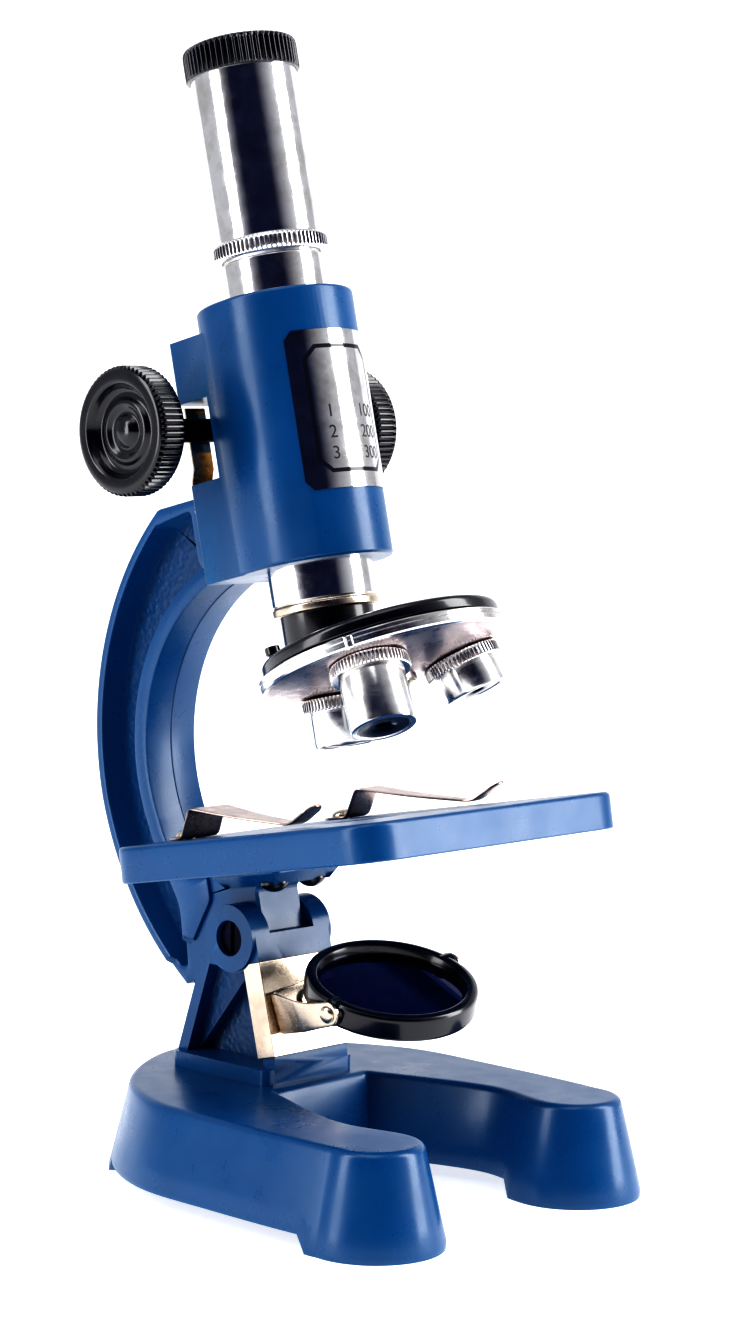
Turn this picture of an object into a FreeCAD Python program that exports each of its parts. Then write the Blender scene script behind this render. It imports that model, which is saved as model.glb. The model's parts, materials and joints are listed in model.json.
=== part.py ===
import FreeCAD, Part
import math
import os

from FreeCAD import Vector

# Student microscope on a horseshoe foot, in millimetres.
# +Z is up, -Y is the front (toes and stage), X runs along the tilting axle.
# Everything above the tilting axle is drawn upright in the "arm frame", whose origin is the axle,
# and is then leaned back by ARM_TILT.

# ---------------------------------------------------------------- driving dimensions
RUN = 0.05            # radial clearance of a shaft in its bore
GAP = 0.30            # clearance between parts that move past each other

# horseshoe foot
BASE_H = 18.4
BASE_WALL = 2.4
BASE_TOP_WALL = 3.0
BASE_DRAFT = 4.4      # how far the walls flare out from top to bottom
HEEL_Y = 25.4         # back of the heel, at the top
SIDE_X = 35.6         # widest half width, at the top
TOE_X, TOE_Y, TOE_R = 26.4, -54.2, 8.6
CROTCH_X, CROTCH_Y = 12.2, -14.6
ARCH_H = 3.0          # how far the rim is raised between the three feet
ARCH_BACK_Y, ARCH_FRONT_Y = 11.0, -50.5

# pillar
AXLE_Z = 44.7
EAR_R = 6.35
EAR_X = 10.4          # outer face of each ear's boss
PILLAR_X = 9.6        # side of the pillar's ribs
FLANGE_X = 11.6
FLANGE_FRONT_Y, FLANGE_BACK_Y = -11.9, 14.6
FLANGE_H = 3.0
FRONT_SILL_H = 5.3    # upright front edge below the sloping front face
RIB = 2.6
WEB_X = 4.2           # half thickness of the pillar's web
TONGUE_X = 5.6        # half thickness of the arm's tongue
TONGUE_R = 4.3        # round end of the tongue
BRIDGE_H = 1.3        # how far the wall in front of the tongue rises above the axle
LEAN_BACK_MAX = 26.0  # degrees the arm can lean back from rest
PILLAR_SCREW_Y = (-5.0, 8.0)
PILLAR_SCREW_R = 1.5
PILLAR_SCREW_UP = 6.0  # how far the screws reach above the base

# tilting axle
AXLE_R = 2.0
AXLE_HEAD_R = 3.2
AXLE_HEAD_H = 1.6
EAR_POCKET_R = 3.4
EAR_POCKET_DEPTH = 2.6

# arm
ARM_TILT = 13.6
ARM_X = 6.45
ARM_WEB_X = 1.1
ARM_TOP_W = 83.2
ARM_BACK_RIM = 1.6
ARM_FRONT_RIM = 3.4
ARM_OUTER_UPPER = ((6.1, 83.2), (27.6, 60.6), (34.9, 31.0))
ARM_OUTER_LOWER = ((34.9, 31.0), (30.2, 9.6), (19.3, -7.9))
ARM_INNER = ((-6.2, 66.4), (13.6, 52.4), (18.6, 24.5))
FOOT_FRONT_V = -14.0
FOOT_X = 9.0
FOOT_T = 3.0

# stage
STAGE_X = 33.8
STAGE_FRONT_V, STAGE_BACK_V = -63.9, 4.3
STAGE_TOP_W = 18.2    # height of the top face above the axle at STAGE_REF_V
STAGE_REF_V = -22.9
STAGE_LEAN = 3.3      # degrees that the front edge droops in the arm frame
STAGE_H = 6.8
STAGE_PLATE = 2.2
STAGE_WALL = 2.0
STAGE_CORNER_R = 6.0
STAGE_HOLE_R = 7.5
STAGE_SCREW_X, STAGE_SCREW_V = 4.9, -9.4
STAGE_SCREW_R = 1.4

# slide clips
CLIP_X, CLIP_V = 20.3, -4.2
CLIP_T = 0.5
CLIP_W = 9.6
CLIP_TIP_W = 4.2
CLIP_LENGTH = 29.0
CLIP_CREST = 5.3
CLIP_RIVET_R = 1.4
CLIP_RIVET_HEAD_R = 2.3
CLIP_TURN = {"left": 0.0, "right": 16.4}

# body tube, sleeve and their block
TUBE_V = -28.5
TUBE_R = 9.8
TUBE_WALL = 0.6
TUBE_BOTTOM_W, TUBE_TOP_W = 58.6, 122.9
SLEEVE_R = 13.9
SLEEVE_STRETCH = 2.2
SLEEVE_BOTTOM_W, SLEEVE_TOP_W = 65.4, 115.5
BLOCK_X = 12.4
BLOCK_BACK_V = -10.3
BLOCK_TOP_W = 111.2
NOTCH_LOW_W, NOTCH_HIGH_W = 84.2, 99.5
NOTCH_FRONT_V = TUBE_V + TUBE_R + 0.1
SADDLE_IN_X, SADDLE_OUT_X = 3.4, 6.2
TENON_X, TENON_LEN = 4.0, 5.0
TENON_LOW_W, TENON_HIGH_W = 70.0, 80.0

# label
LABEL_T = 0.4
LABEL_ANGLE, LABEL_HALF_ANGLE = -90.0, 46.0
LABEL_LOW_W, LABEL_HIGH_W = 77.6, 107.0
LABEL_CORNER = 1.6

# rack and pinion
PINION_V, PINION_W = TUBE_V + TUBE_R + 5.15, 94.15
SHAFT_R = 2.25
MODULE = 0.6
PINION_TEETH = 12
PINION_X = 2.9
RACK_X = 2.3
FOCUS_DOWN, FOCUS_UP = 7.5, 6.5
RACK_LOW_W, RACK_HIGH_W = PINION_W - FOCUS_UP - 7.65, PINION_W + FOCUS_DOWN + 6.35
KNOB_R = 11.95
KNOB_OUT_X = 30.8
KNOB_T = 6.2
KNOB_DISH_R = 8.6
KNOB_DISH = 2.6
KNOB_HUB_R = 2.9
SPRING_T = 0.4
PRONG_IN_X, PRONG_OUT_X = 6.4, 11.4
PRONG_LOW_W, PRONG_HIGH_W = 85.3, 98.9
SPRING_SCREW_X = 8.9
SPRING_SCREW_W = 80.0
SPRING_SCREW_R = 1.1

# eyepiece
EYE_TUBE_R = TUBE_R + 0.2
EYE_WALL = 0.5
COLLAR_R = TUBE_R + 1.25
COLLAR_W = (123.2, 126.6)
CAP_LOW_W, CAP_HIGH_W = 158.2, 164.2
CAP_R = TUBE_R + 0.95
EYE_HOLE_R = 4.0
DRAW_R = TUBE_R - TUBE_WALL - RUN
DRAW_WALL = 0.5
DRAW_UP = 22.0
DRAW_BOTTOM_W = TUBE_TOP_W - DRAW_UP - 4.9
EYE_LENS_R, EYE_LENS_H = 5.0, 2.4
FIELD_LENS_R, FIELD_LENS_H = DRAW_R - DRAW_WALL - 1.25, 2.6

# turret
TURRET_LEAN = 10.0
TURRET_V, TURRET_W = -41.5, 45.95
APEX_H = 75.2         # the objectives' axes meet the turret's axis this far above its rim plane
DISC_R = 23.5
DISC_RIM_LOW, DISC_RIM_HIGH = -1.0, 1.4
DISC_T = 1.0
HUB_R = 5.0
BODY_R = 22.3
BODY_WALL = 1.4
BODY_EDGE_H = 4.3
BODY_CROWN_H = 6.2
BODY_CROWN_R = 8.0
BODY_CEILING = 3.2
NECK_R = TUBE_R - 1.1
NECK_BORE_R = 5.0
END_RING_R = TUBE_R + 0.15
END_RING_H = 2.0
PIVOT_R = 2.0
PIVOT_HEAD_R, PIVOT_HEAD_H = 4.2, 1.5
DETENT_NOTCH = 1.6
COLLAR_SEAT = 79.1    # distance from the apex to each objective's seat
OBJ_COLLAR_R, OBJ_COLLAR_H = 7.35, 2.5
OBJ_R = 6.0
OBJ_BORE_R = 4.4
OBJ_SPIGOT_H = 1.2
OBJECTIVES = {"medium": (0, 6.7), "high": (1, 10.1), "low": (2, 5.0)}
STOP_T, STOP_HOLE_R = 1.0, 1.3
OBJ_LENS_H = 1.4

# mirror
PLATE_T = 0.6
PLATE_WING = 4.0
PLATE_LOW, PLATE_HIGH = 0.2, 18.0   # up the pillar's sloping front face, from the sill
FORK_UP = 9.3         # the fork's rivet, up the same face
FORK_T = 0.7
FORK_BASE_X = 8.6
FORK_REACH = 23.4     # from the plate to the mirror's axis
FORK_ARM_X = 16.6     # inner face of each arm
FORK_BASE_H, FORK_END_H = 7.8, 4.6
FORK_TURN = 8.1       # degrees
MIRROR_R, MIRROR_H = 16.0, 4.8
MIRROR_GLASS_R, MIRROR_RIM_DEPTH, MIRROR_GLASS_T = 13.4, 1.9, 1.4
MIRROR_TILT = 15.0
PIVOT_PIN_R = 1.0
FORK_RIVET_R = 1.2


# ---------------------------------------------------------------- small helpers
def cyl(radius, low, high, x=0.0, y=0.0):
    """Upright cylinder between two heights."""
    return Part.makeCylinder(radius, high - low, Vector(x, y, low))


def cyl_x(radius, x_low, x_high, y=0.0, z=0.0):
    """Cylinder along X."""
    return Part.makeCylinder(radius, x_high - x_low, Vector(x_low, y, z), Vector(1, 0, 0))


def ring(outer, inner, low, high, x=0.0, y=0.0):
    """Upright tube."""
    return cyl(outer, low, high, x, y).cut(cyl(inner, low - 1, high + 1, x, y))


def box(x_low, x_high, y_low, y_high, z_low, z_high):
    """Box between two corners."""
    return Part.makeBox(x_high - x_low, y_high - y_low, z_high - z_low, Vector(x_low, y_low, z_low))


def turned(profile):
    """Solid of revolution about Z from (radius, height) corners."""
    corners = [Vector(r, 0, z) for r, z in profile]
    face = Part.Face(Part.makePolygon(corners + [corners[0]]))
    return face.revolve(Vector(0, 0, 0), Vector(0, 0, 1), 360)


def slab_x(profile, x_low, x_high):
    """Flat outline of (y, z) corners, extruded along X."""
    corners = [Vector(x_low, y, z) for y, z in profile]
    face = Part.Face(Part.makePolygon(corners + [corners[0]]))
    return face.extrude(Vector(x_high - x_low, 0, 0))


def slab_z(profile, low, high):
    """Flat outline of (x, y) corners, extruded upwards."""
    corners = [Vector(x, y, low) for x, y in profile]
    face = Part.Face(Part.makePolygon(corners + [corners[0]]))
    return face.extrude(Vector(0, 0, high - low))


def strip(path, thickness):
    """Closed outline of a bent sheet: the path, and the path moved sideways, with mitred bends."""
    far_side = []
    for i, (a, b) in enumerate(path):
        before = path[max(i - 1, 0)]
        after = path[min(i + 1, len(path) - 1)]
        first = math.atan2(b - before[1], a - before[0]) if i else None
        last = math.atan2(after[1] - b, after[0] - a) if i < len(path) - 1 else first
        first = last if first is None else first
        half = (last - first) / 2
        middle = first + half + math.pi / 2
        reach = thickness / math.cos(half)
        far_side.append((a + reach * math.cos(middle), b + reach * math.sin(middle)))
    return list(path) + far_side[::-1]


def arc_x(points, x=0.0):
    """Arc through three (y, z) points in a plane across X."""
    return Part.Arc(*[Vector(x, y, z) for y, z in points]).toShape()


def fuse(first, *others):
    """One clean solid."""
    return first.fuse(list(others)).removeSplitter()


def mirror_x(shape):
    """The same piece on the other side."""
    return shape.mirror(Vector(0, 0, 0), Vector(1, 0, 0))


def moved(shape, x=0.0, y=0.0, z=0.0):
    """A shifted copy."""
    copy = shape.copy()
    copy.translate(Vector(x, y, z))
    return copy


def leaned(shape, degrees, centre=Vector(0, 0, 0)):
    """A copy turned about an X axis, positive leaning the top towards the front."""
    copy = shape.copy()
    copy.rotate(centre, Vector(1, 0, 0), degrees)
    return copy


def spun(shape, degrees, x=0.0, y=0.0):
    """A copy turned about an upright axis."""
    copy = shape.copy()
    copy.rotate(Vector(x, y, 0), Vector(0, 0, 1), degrees)
    return copy


def arm_to_rest(shape):
    """From the upright arm frame to the leaned rest pose."""
    return moved(leaned(shape, -ARM_TILT), z=AXLE_Z)


def stage_to_arm(shape):
    """From the stage's own frame (top face at height 0) to the arm frame."""
    return moved(leaned(shape, STAGE_LEAN), y=STAGE_REF_V, z=STAGE_TOP_W)


def turret_to_arm(shape):
    """From the turret's own frame (axis on Z, rim plane at height 0) to the arm frame."""
    return moved(leaned(shape, -TURRET_LEAN), y=TURRET_V, z=TURRET_W)


def stage_v(v):
    """A front-to-back place on the stage in the stage's own frame."""
    return (v - STAGE_REF_V) / math.cos(math.radians(STAGE_LEAN))


# ---------------------------------------------------------------- foot
def base_outline(grow, z):
    """Horseshoe outline, moved outwards by grow."""
    toe_turn = math.radians(8)
    toe_r = TOE_R + grow
    outer_toe = Vector(TOE_X + toe_r * math.cos(toe_turn), TOE_Y + toe_r * math.sin(toe_turn), z)
    toe_front = Vector(TOE_X, TOE_Y - toe_r, z)
    inner_toe = Vector(TOE_X - toe_r * math.cos(toe_turn), TOE_Y + toe_r * math.sin(toe_turn), z)
    heel = Vector(0, HEEL_Y + grow, z)
    shoulder = Vector(SIDE_X * 0.76 + 0.7 * grow, 8.6 + 0.7 * grow, z)
    hip = Vector(SIDE_X * 0.97 + 0.97 * grow, -6.5 + 0.2 * grow, z)
    side = Vector(SIDE_X + grow, -25.0, z)
    outer = Part.BSplineCurve()
    outer.interpolate(Points=[heel, shoulder, hip, side, outer_toe],
                      InitialTangent=Vector(30, 0, 0), FinalTangent=Vector(-2, -24, 0))
    waist = Vector(TOE_X - TOE_R + 2.0 - grow, -38.5, z)
    crotch = Vector(CROTCH_X - grow, CROTCH_Y - grow, z)
    inner = Part.BSplineCurve()
    inner.interpolate(Points=[inner_toe, waist, crotch],
                      InitialTangent=Vector(2, 22, 0), FinalTangent=Vector(-9, 22, 0))
    right = [outer.toShape(), Part.Arc(outer_toe, toe_front, inner_toe).toShape(), inner.toShape()]
    left = [edge.mirror(Vector(0, 0, 0), Vector(1, 0, 0)) for edge in reversed(right)]
    back = Part.makeLine(crotch, Vector(-crotch.x, crotch.y, z))
    return Part.Wire(Part.__sortEdges__(right + [back] + left))


def make_base():
    """Hollow horseshoe with flared walls, an arch between its feet and bosses for the pillar."""
    shell = Part.makeLoft([base_outline(BASE_DRAFT, 0), base_outline(0, BASE_H)], True, True)
    inside_top = BASE_H - BASE_TOP_WALL
    rise = BASE_DRAFT * inside_top / BASE_H
    hollow = Part.makeLoft([base_outline(BASE_DRAFT - BASE_WALL, 0),
                            base_outline(BASE_DRAFT - rise - BASE_WALL, inside_top)], True, True)
    arch = slab_x([(ARCH_BACK_Y + ARCH_H, -1), (ARCH_BACK_Y, ARCH_H), (ARCH_FRONT_Y + ARCH_H, ARCH_H),
                   (ARCH_FRONT_Y, -1)], -2 * SIDE_X, 2 * SIDE_X)
    base = shell.cut(hollow).cut(arch)
    for y in PILLAR_SCREW_Y:
        base = base.fuse(cyl(PILLAR_SCREW_R + 2.0, ARCH_H, inside_top + 0.1, 0, y))
    for y in PILLAR_SCREW_Y:
        base = base.cut(cyl(PILLAR_SCREW_R + RUN, -1, BASE_H + 1, 0, y))
    return base.removeSplitter()


# ---------------------------------------------------------------- pillar and axle
def pillar_slopes():
    """Corners of the pillar's side view: the flat foot, the sill and both tangents to the ears."""
    sill = (FLANGE_FRONT_Y, BASE_H + FRONT_SILL_H)
    back = (FLANGE_BACK_Y, BASE_H + FLANGE_H)
    corners = []
    for (y, z), side in ((sill, -1), (back, 1)):
        reach = math.hypot(y, AXLE_Z - z)
        aim = math.atan2(z - AXLE_Z, y)
        swing = math.acos(EAR_R / reach)
        touch = aim - swing if side < 0 else aim + swing
        corners.append((EAR_R * math.cos(touch), AXLE_Z + EAR_R * math.sin(touch)))
    return sill, corners[0], corners[1], back


def tongue_touch():
    """Direction from the axle to where the arm's straight underside leaves the tongue, in the arm frame."""
    drop = ARM_OUTER_LOWER[-1]
    return math.atan2(drop[1], drop[0]) - math.acos(TONGUE_R / math.hypot(*drop))


def slot_angle():
    """Slope of the slot's floor: the arm's underside leaned fully back, and one degree more."""
    return math.radians(ARM_TILT + LEAN_BACK_MAX + 1.0) - (tongue_touch() + math.pi / 2)


def slot_shape():
    """Room for the tongue: a round bottom, open above, and a wedge behind for leaning back."""
    room = TONGUE_R + GAP
    half = TONGUE_X + GAP / 2
    steep = slot_angle()
    start = (-room * math.sin(steep), AXLE_Z - room * math.cos(steep))
    far = 30.0
    floor_end = (start[0] + far * math.cos(steep), start[1] - far * math.sin(steep))
    wedge = slab_x([start, floor_end, (far, AXLE_Z + far), (0, AXLE_Z + far), (0, AXLE_Z)], -half, half)
    above = box(-half, half, -room, 1, AXLE_Z, AXLE_Z + far)
    front = box(-half, half, -far, 1, AXLE_Z + BRIDGE_H, AXLE_Z + far)
    return fuse(cyl_x(room, -half, half, 0, AXLE_Z), above, front, wedge)


def make_pillar():
    """Forked pillar: flange, two ears, ribs round a sunk panel on each side, a slot between the ears."""
    sill, front, rear, back = pillar_slopes()
    outline = [(FLANGE_FRONT_Y, BASE_H), sill, front, (0, AXLE_Z), rear, back, (FLANGE_BACK_Y, BASE_H)]
    body = slab_x(outline, -PILLAR_X, PILLAR_X)
    body = body.fuse(cyl_x(EAR_R, -EAR_X, EAR_X, 0, AXLE_Z))
    flange = box(-FLANGE_X, FLANGE_X, FLANGE_FRONT_Y, FLANGE_BACK_Y, BASE_H, BASE_H + FLANGE_H)
    upright = [edge for edge in flange.Edges if abs(edge.Vertexes[0].Z - edge.Vertexes[-1].Z) > 1]
    body = body.fuse(flange.makeFillet(2.0, upright))
    floor = BASE_H + FLANGE_H
    run_front = (front[0] - sill[0]) / (front[1] - sill[1])
    run_back = (rear[0] - back[0]) / (rear[1] - back[1])
    top = AXLE_Z - EAR_R + 0.6

    def panel_edge(z):
        return sill[0] + RIB + run_front * (z - sill[1]), back[0] - RIB + run_back * (z - back[1])
    low, high = panel_edge(floor), panel_edge(top)
    tilt = math.tan(slot_angle())
    limit = AXLE_Z - (TONGUE_R + GAP + 1.2) / math.cos(slot_angle())
    crest = AXLE_Z - EAR_R + 0.15
    deep = [(low[0] + 0.9, floor), (panel_edge(crest)[0], crest), ((limit - crest) / tilt, crest),
            (min((limit - floor) / tilt, low[1]), floor)]
    shallow = [(low[0] + 0.9, floor), (high[0], top), (high[1], top), (low[1], floor)]
    ear_guard = cyl_x(EAR_R + 0.4, -EAR_X, EAR_X, 0, AXLE_Z)
    for side in (-1, 1):
        outer = side * (PILLAR_X + 1)
        for panel, depth in ((deep, WEB_X), (shallow, TONGUE_X + GAP / 2 + 1.1)):
            ends = sorted((side * depth, outer))
            body = body.cut(slab_x(panel, *ends).cut(ear_guard))
    body = body.cut(slot_shape())
    body = body.cut(cyl_x(AXLE_R + RUN, -20, 20, 0, AXLE_Z))
    for side in (-1, 1):
        ends = sorted((side * (EAR_X - EAR_POCKET_DEPTH), side * (EAR_X + 1)))
        body = body.cut(cyl_x(EAR_POCKET_R, ends[0], ends[1], 0, AXLE_Z))
    for y in PILLAR_SCREW_Y:
        body = body.cut(cyl(PILLAR_SCREW_R, BASE_H - 1, BASE_H + PILLAR_SCREW_UP + 0.5, 0, y))
    rivet = Part.makeCylinder(FORK_RIVET_R, 2.4, Vector(0, -0.8, FORK_UP), Vector(0, 1, 0))
    return body.cut(slope_to_rest(rivet)).removeSplitter()


def make_pillar_screws():
    """Two screws that come up through the base."""
    screws = []
    for y in PILLAR_SCREW_Y:
        shank = cyl(PILLAR_SCREW_R, ARCH_H - 0.5, BASE_H + PILLAR_SCREW_UP, 0, y)
        head = cyl(PILLAR_SCREW_R * 1.9, ARCH_H - 2.0, ARCH_H, 0, y)
        cross = box(-0.4, 0.4, y - 2, y + 2, ARCH_H - 2.1, ARCH_H - 1.2)
        screws.append(shank.fuse(head).cut(cross).removeSplitter())
    return Part.makeCompound(screws)


def make_axle_bolt():
    """Tilting axle with its round head sunk in one ear."""
    seat = EAR_X - EAR_POCKET_DEPTH
    head = cyl_x(AXLE_HEAD_R, -seat - AXLE_HEAD_H, -seat, 0, AXLE_Z)
    shank = cyl_x(AXLE_R, -seat - 0.1, seat + AXLE_HEAD_H + 0.5, 0, AXLE_Z)
    slot = box(-seat - AXLE_HEAD_H - 1, -seat - AXLE_HEAD_H + 0.7, -0.5, 0.5, AXLE_Z - 4, AXLE_Z + 4)
    return fuse(head, shank).cut(slot)


def make_axle_nut():
    """Round nut sunk in the other ear."""
    seat = EAR_X - EAR_POCKET_DEPTH
    nut = cyl_x(AXLE_HEAD_R, seat, seat + AXLE_HEAD_H, 0, AXLE_Z)
    return nut.cut(cyl_x(AXLE_R, seat - 1, seat + 3, 0, AXLE_Z))


# ---------------------------------------------------------------- arm
def foot_height(v):
    """Height of the stage's lower rim in the arm frame."""
    lean = math.radians(STAGE_LEAN)
    return STAGE_TOP_W - STAGE_H / math.cos(lean) + math.tan(lean) * (v - STAGE_REF_V)


def arm_outline():
    """Side view of the arm, from its flat top round the back to the axle and the stage foot."""
    drop = ARM_OUTER_LOWER[-1]
    touch = tongue_touch()
    low = (TONGUE_R * math.cos(touch), TONGUE_R * math.sin(touch))
    under = math.radians(-140)
    inner_end = ARM_INNER[-1]
    foot_back = (12.5, foot_height(12.5))
    bend = (inner_end[0] - 2.2, inner_end[1] - 6.0)
    arcs = [ARM_OUTER_UPPER, ARM_OUTER_LOWER, ARM_INNER, (foot_back, bend, inner_end),
            (low, (TONGUE_R * math.cos(under), TONGUE_R * math.sin(under)), (-TONGUE_R, 0))]
    front = [(-TONGUE_R, 0), (-TONGUE_R, foot_height(-TONGUE_R) - FOOT_T - 1.0),
             (FOOT_FRONT_V, foot_height(FOOT_FRONT_V) - FOOT_T), (FOOT_FRONT_V, foot_height(FOOT_FRONT_V)),
             foot_back]
    head = [ARM_INNER[0], (BLOCK_BACK_V, ARM_INNER[0][1] + 1.0), (BLOCK_BACK_V, ARM_TOP_W),
            ARM_OUTER_UPPER[0]]
    edges = [arc_x(points) for points in arcs]
    for chain in ([drop, low], front, head):
        edges += [Part.makeLine(Vector(0, *a), Vector(0, *b)) for a, b in zip(chain, chain[1:])]
    return Part.Wire(Part.__sortEdges__(edges))


def make_arm():
    """C-shaped arm with a thin web, a rim all round, the tongue on the axle and the stage's foot."""
    outline = arm_outline()
    face = Part.Face(outline)
    body = moved(face, x=-ARM_X).extrude(Vector(2 * ARM_X, 0, 0))
    sunk_face = Part.Face(outline).makeOffset2D(-ARM_BACK_RIM)
    inner_arc = arc_x(ARM_INNER).Curve
    thick = ARM_FRONT_RIM - ARM_BACK_RIM
    guard = Part.makeCylinder(inner_arc.Radius + ARM_BACK_RIM + thick, 4 * ARM_X,
                              inner_arc.Center + Vector(-2 * ARM_X, 0, 0), Vector(1, 0, 0))
    foot_guard = box(-20, 20, -40, 11.0, -40, 40)
    head_guard = box(-20, 20, -40, BLOCK_BACK_V + TENON_LEN + ARM_BACK_RIM, 40, 120)
    sunk = moved(sunk_face, x=ARM_WEB_X).extrude(Vector(ARM_X, 0, 0)).cut([guard, foot_guard, head_guard])
    body = body.cut([sunk, mirror_x(sunk)])
    flange = slab_x([(FOOT_FRONT_V, foot_height(FOOT_FRONT_V) - FOOT_T),
                     (FOOT_FRONT_V, foot_height(FOOT_FRONT_V)), (4.0, foot_height(4.0)),
                     (4.0, foot_height(4.0) - FOOT_T)], -FOOT_X, FOOT_X)
    body = body.fuse(flange)
    near, wide = EAR_R + 1.05, EAR_R + 9.15
    slot_zone = slab_x([(-20, -20), (-20, near), (near, near), (wide, -1.0), (wide + 8.0, -6.5),
                        (wide + 8.0, -20)], TONGUE_X, 20)
    body = body.cut([slot_zone, mirror_x(slot_zone)])
    body = body.cut(cyl_x(AXLE_R + RUN, -20, 20))
    mortise = box(-TENON_X, TENON_X, BLOCK_BACK_V - 1, BLOCK_BACK_V + TENON_LEN + 0.2,
                  TENON_LOW_W, TENON_HIGH_W)
    body = body.cut(mortise)
    for side in (-1, 1):
        x, y = side * STAGE_SCREW_X, stage_v(STAGE_SCREW_V)
        hole = cyl(STAGE_SCREW_R + RUN, -20, 1, x, y)
        head_room = cyl(2.9, -20, -STAGE_H - FOOT_T, x, y)
        body = body.cut([stage_to_arm(hole), stage_to_arm(head_room)])
    return body.removeSplitter()


# ---------------------------------------------------------------- stage and clips
def rounded_plate(x_half, y_low, y_high, z_low, z_high, radius):
    """Plate with round upright corners."""
    plate = box(-x_half, x_half, y_low, y_high, z_low, z_high)
    upright = [edge for edge in plate.Edges if abs(edge.Vertexes[0].Z - edge.Vertexes[-1].Z) > 0.5]
    return plate.makeFillet(radius, upright)


def make_stage():
    """Square stage: a thin plate with a skirt, a light hole and two screw bosses below."""
    front, back = stage_v(STAGE_FRONT_V), stage_v(STAGE_BACK_V)
    plate = rounded_plate(STAGE_X, front, back, -STAGE_H, 0, STAGE_CORNER_R)
    hollow = rounded_plate(STAGE_X - STAGE_WALL, front + STAGE_WALL, back - STAGE_WALL,
                           -STAGE_H - 1, -STAGE_PLATE, STAGE_CORNER_R - STAGE_WALL)
    stage = plate.cut(hollow)
    boss_v = stage_v(STAGE_SCREW_V)
    for side in (-1, 1):
        stage = stage.fuse(cyl(3.4, -STAGE_H, -STAGE_PLATE + 0.1, side * STAGE_SCREW_X, boss_v))
    for side in (-1, 1):
        stage = stage.cut(cyl(STAGE_SCREW_R, -STAGE_H - 1, -1.0, side * STAGE_SCREW_X, boss_v))
        stage = stage.cut(cyl(CLIP_RIVET_R, -STAGE_H - 1, 1, side * CLIP_X, stage_v(CLIP_V)))
    stage = stage.cut(cyl(STAGE_HOLE_R, -STAGE_H, 1, 0, stage_v(TUBE_V)))
    return stage_to_arm(stage.removeSplitter())


def make_stage_screws():
    """Two domed screws that hold the stage from below."""
    screws = []
    for side in (-1, 1):
        seat = -STAGE_H - FOOT_T
        x, y = side * STAGE_SCREW_X, stage_v(STAGE_SCREW_V)
        shank = cyl(STAGE_SCREW_R, seat - 0.2, -1.4, x, y)
        dome = Part.makeSphere(3.2, Vector(x, y, seat + 1.2)).common(cyl(2.7, seat - 3, seat, x, y))
        screws.append(stage_to_arm(fuse(shank, dome)))
    return Part.makeCompound(screws)


def clip_shape():
    """Bent spring strip along -Y from its rivet eye, narrowing to a turned-up tip."""
    side_view = strip([(3.0, 0.05), (-3.0, 0.05), (-5.8, CLIP_CREST), (-CLIP_LENGTH + 0.8, 0.5),
                       (-CLIP_LENGTH, 0.45), (-CLIP_LENGTH - 6.0, 3.6)], -CLIP_T)
    body = slab_x(side_view, -CLIP_W / 2, CLIP_W / 2)
    wide, narrow, end = CLIP_W / 2, CLIP_TIP_W / 2, -CLIP_LENGTH
    plan = [(-3.2, 3.2), (3.2, 3.2), (wide, -1.5), (wide, -6.5), (narrow, end + 2), (narrow, end - 5.0),
            (1.0, end - 7), (-1.0, end - 7), (-narrow, end - 5.0), (-narrow, end + 2), (-wide, -6.5),
            (-wide, -1.5)]
    return body.common(slab_z(plan, -1, 12)).cut(cyl(CLIP_RIVET_R + RUN, -1, 3))


def make_clip(side):
    """One clip in place, turned about its rivet."""
    clip = spun(clip_shape(), CLIP_TURN[side])
    x = -CLIP_X if side == "left" else CLIP_X
    return stage_to_arm(moved(clip, x, stage_v(CLIP_V), 0))


def make_clip_rivets():
    """Rivets with domed heads over the clips and flat heads under the stage plate."""
    rivets = []
    for side in (-1, 1):
        x, y = side * CLIP_X, stage_v(CLIP_V)
        under = 0.05 + CLIP_T + RUN
        shank = cyl(CLIP_RIVET_R, -STAGE_PLATE - 0.8, under + 0.1, x, y)
        dome = Part.makeSphere(2.6, Vector(x, y, under - 1.2)).common(cyl(CLIP_RIVET_HEAD_R, under, 5, x, y))
        foot = cyl(CLIP_RIVET_HEAD_R, -STAGE_PLATE - 0.8, -STAGE_PLATE, x, y)
        rivets.append(stage_to_arm(fuse(shank, dome, foot)))
    return Part.makeCompound(rivets)


# ---------------------------------------------------------------- sleeve
def stretched_round(radius, low, high, back):
    """Upright round bar on the tube's axis, stretched backwards."""
    front = cyl(radius, low, high, 0, TUBE_V)
    rear = cyl(radius, low, high, 0, TUBE_V + back)
    middle = box(-radius, radius, TUBE_V, TUBE_V + back, low, high)
    return fuse(front, rear, middle)


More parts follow.
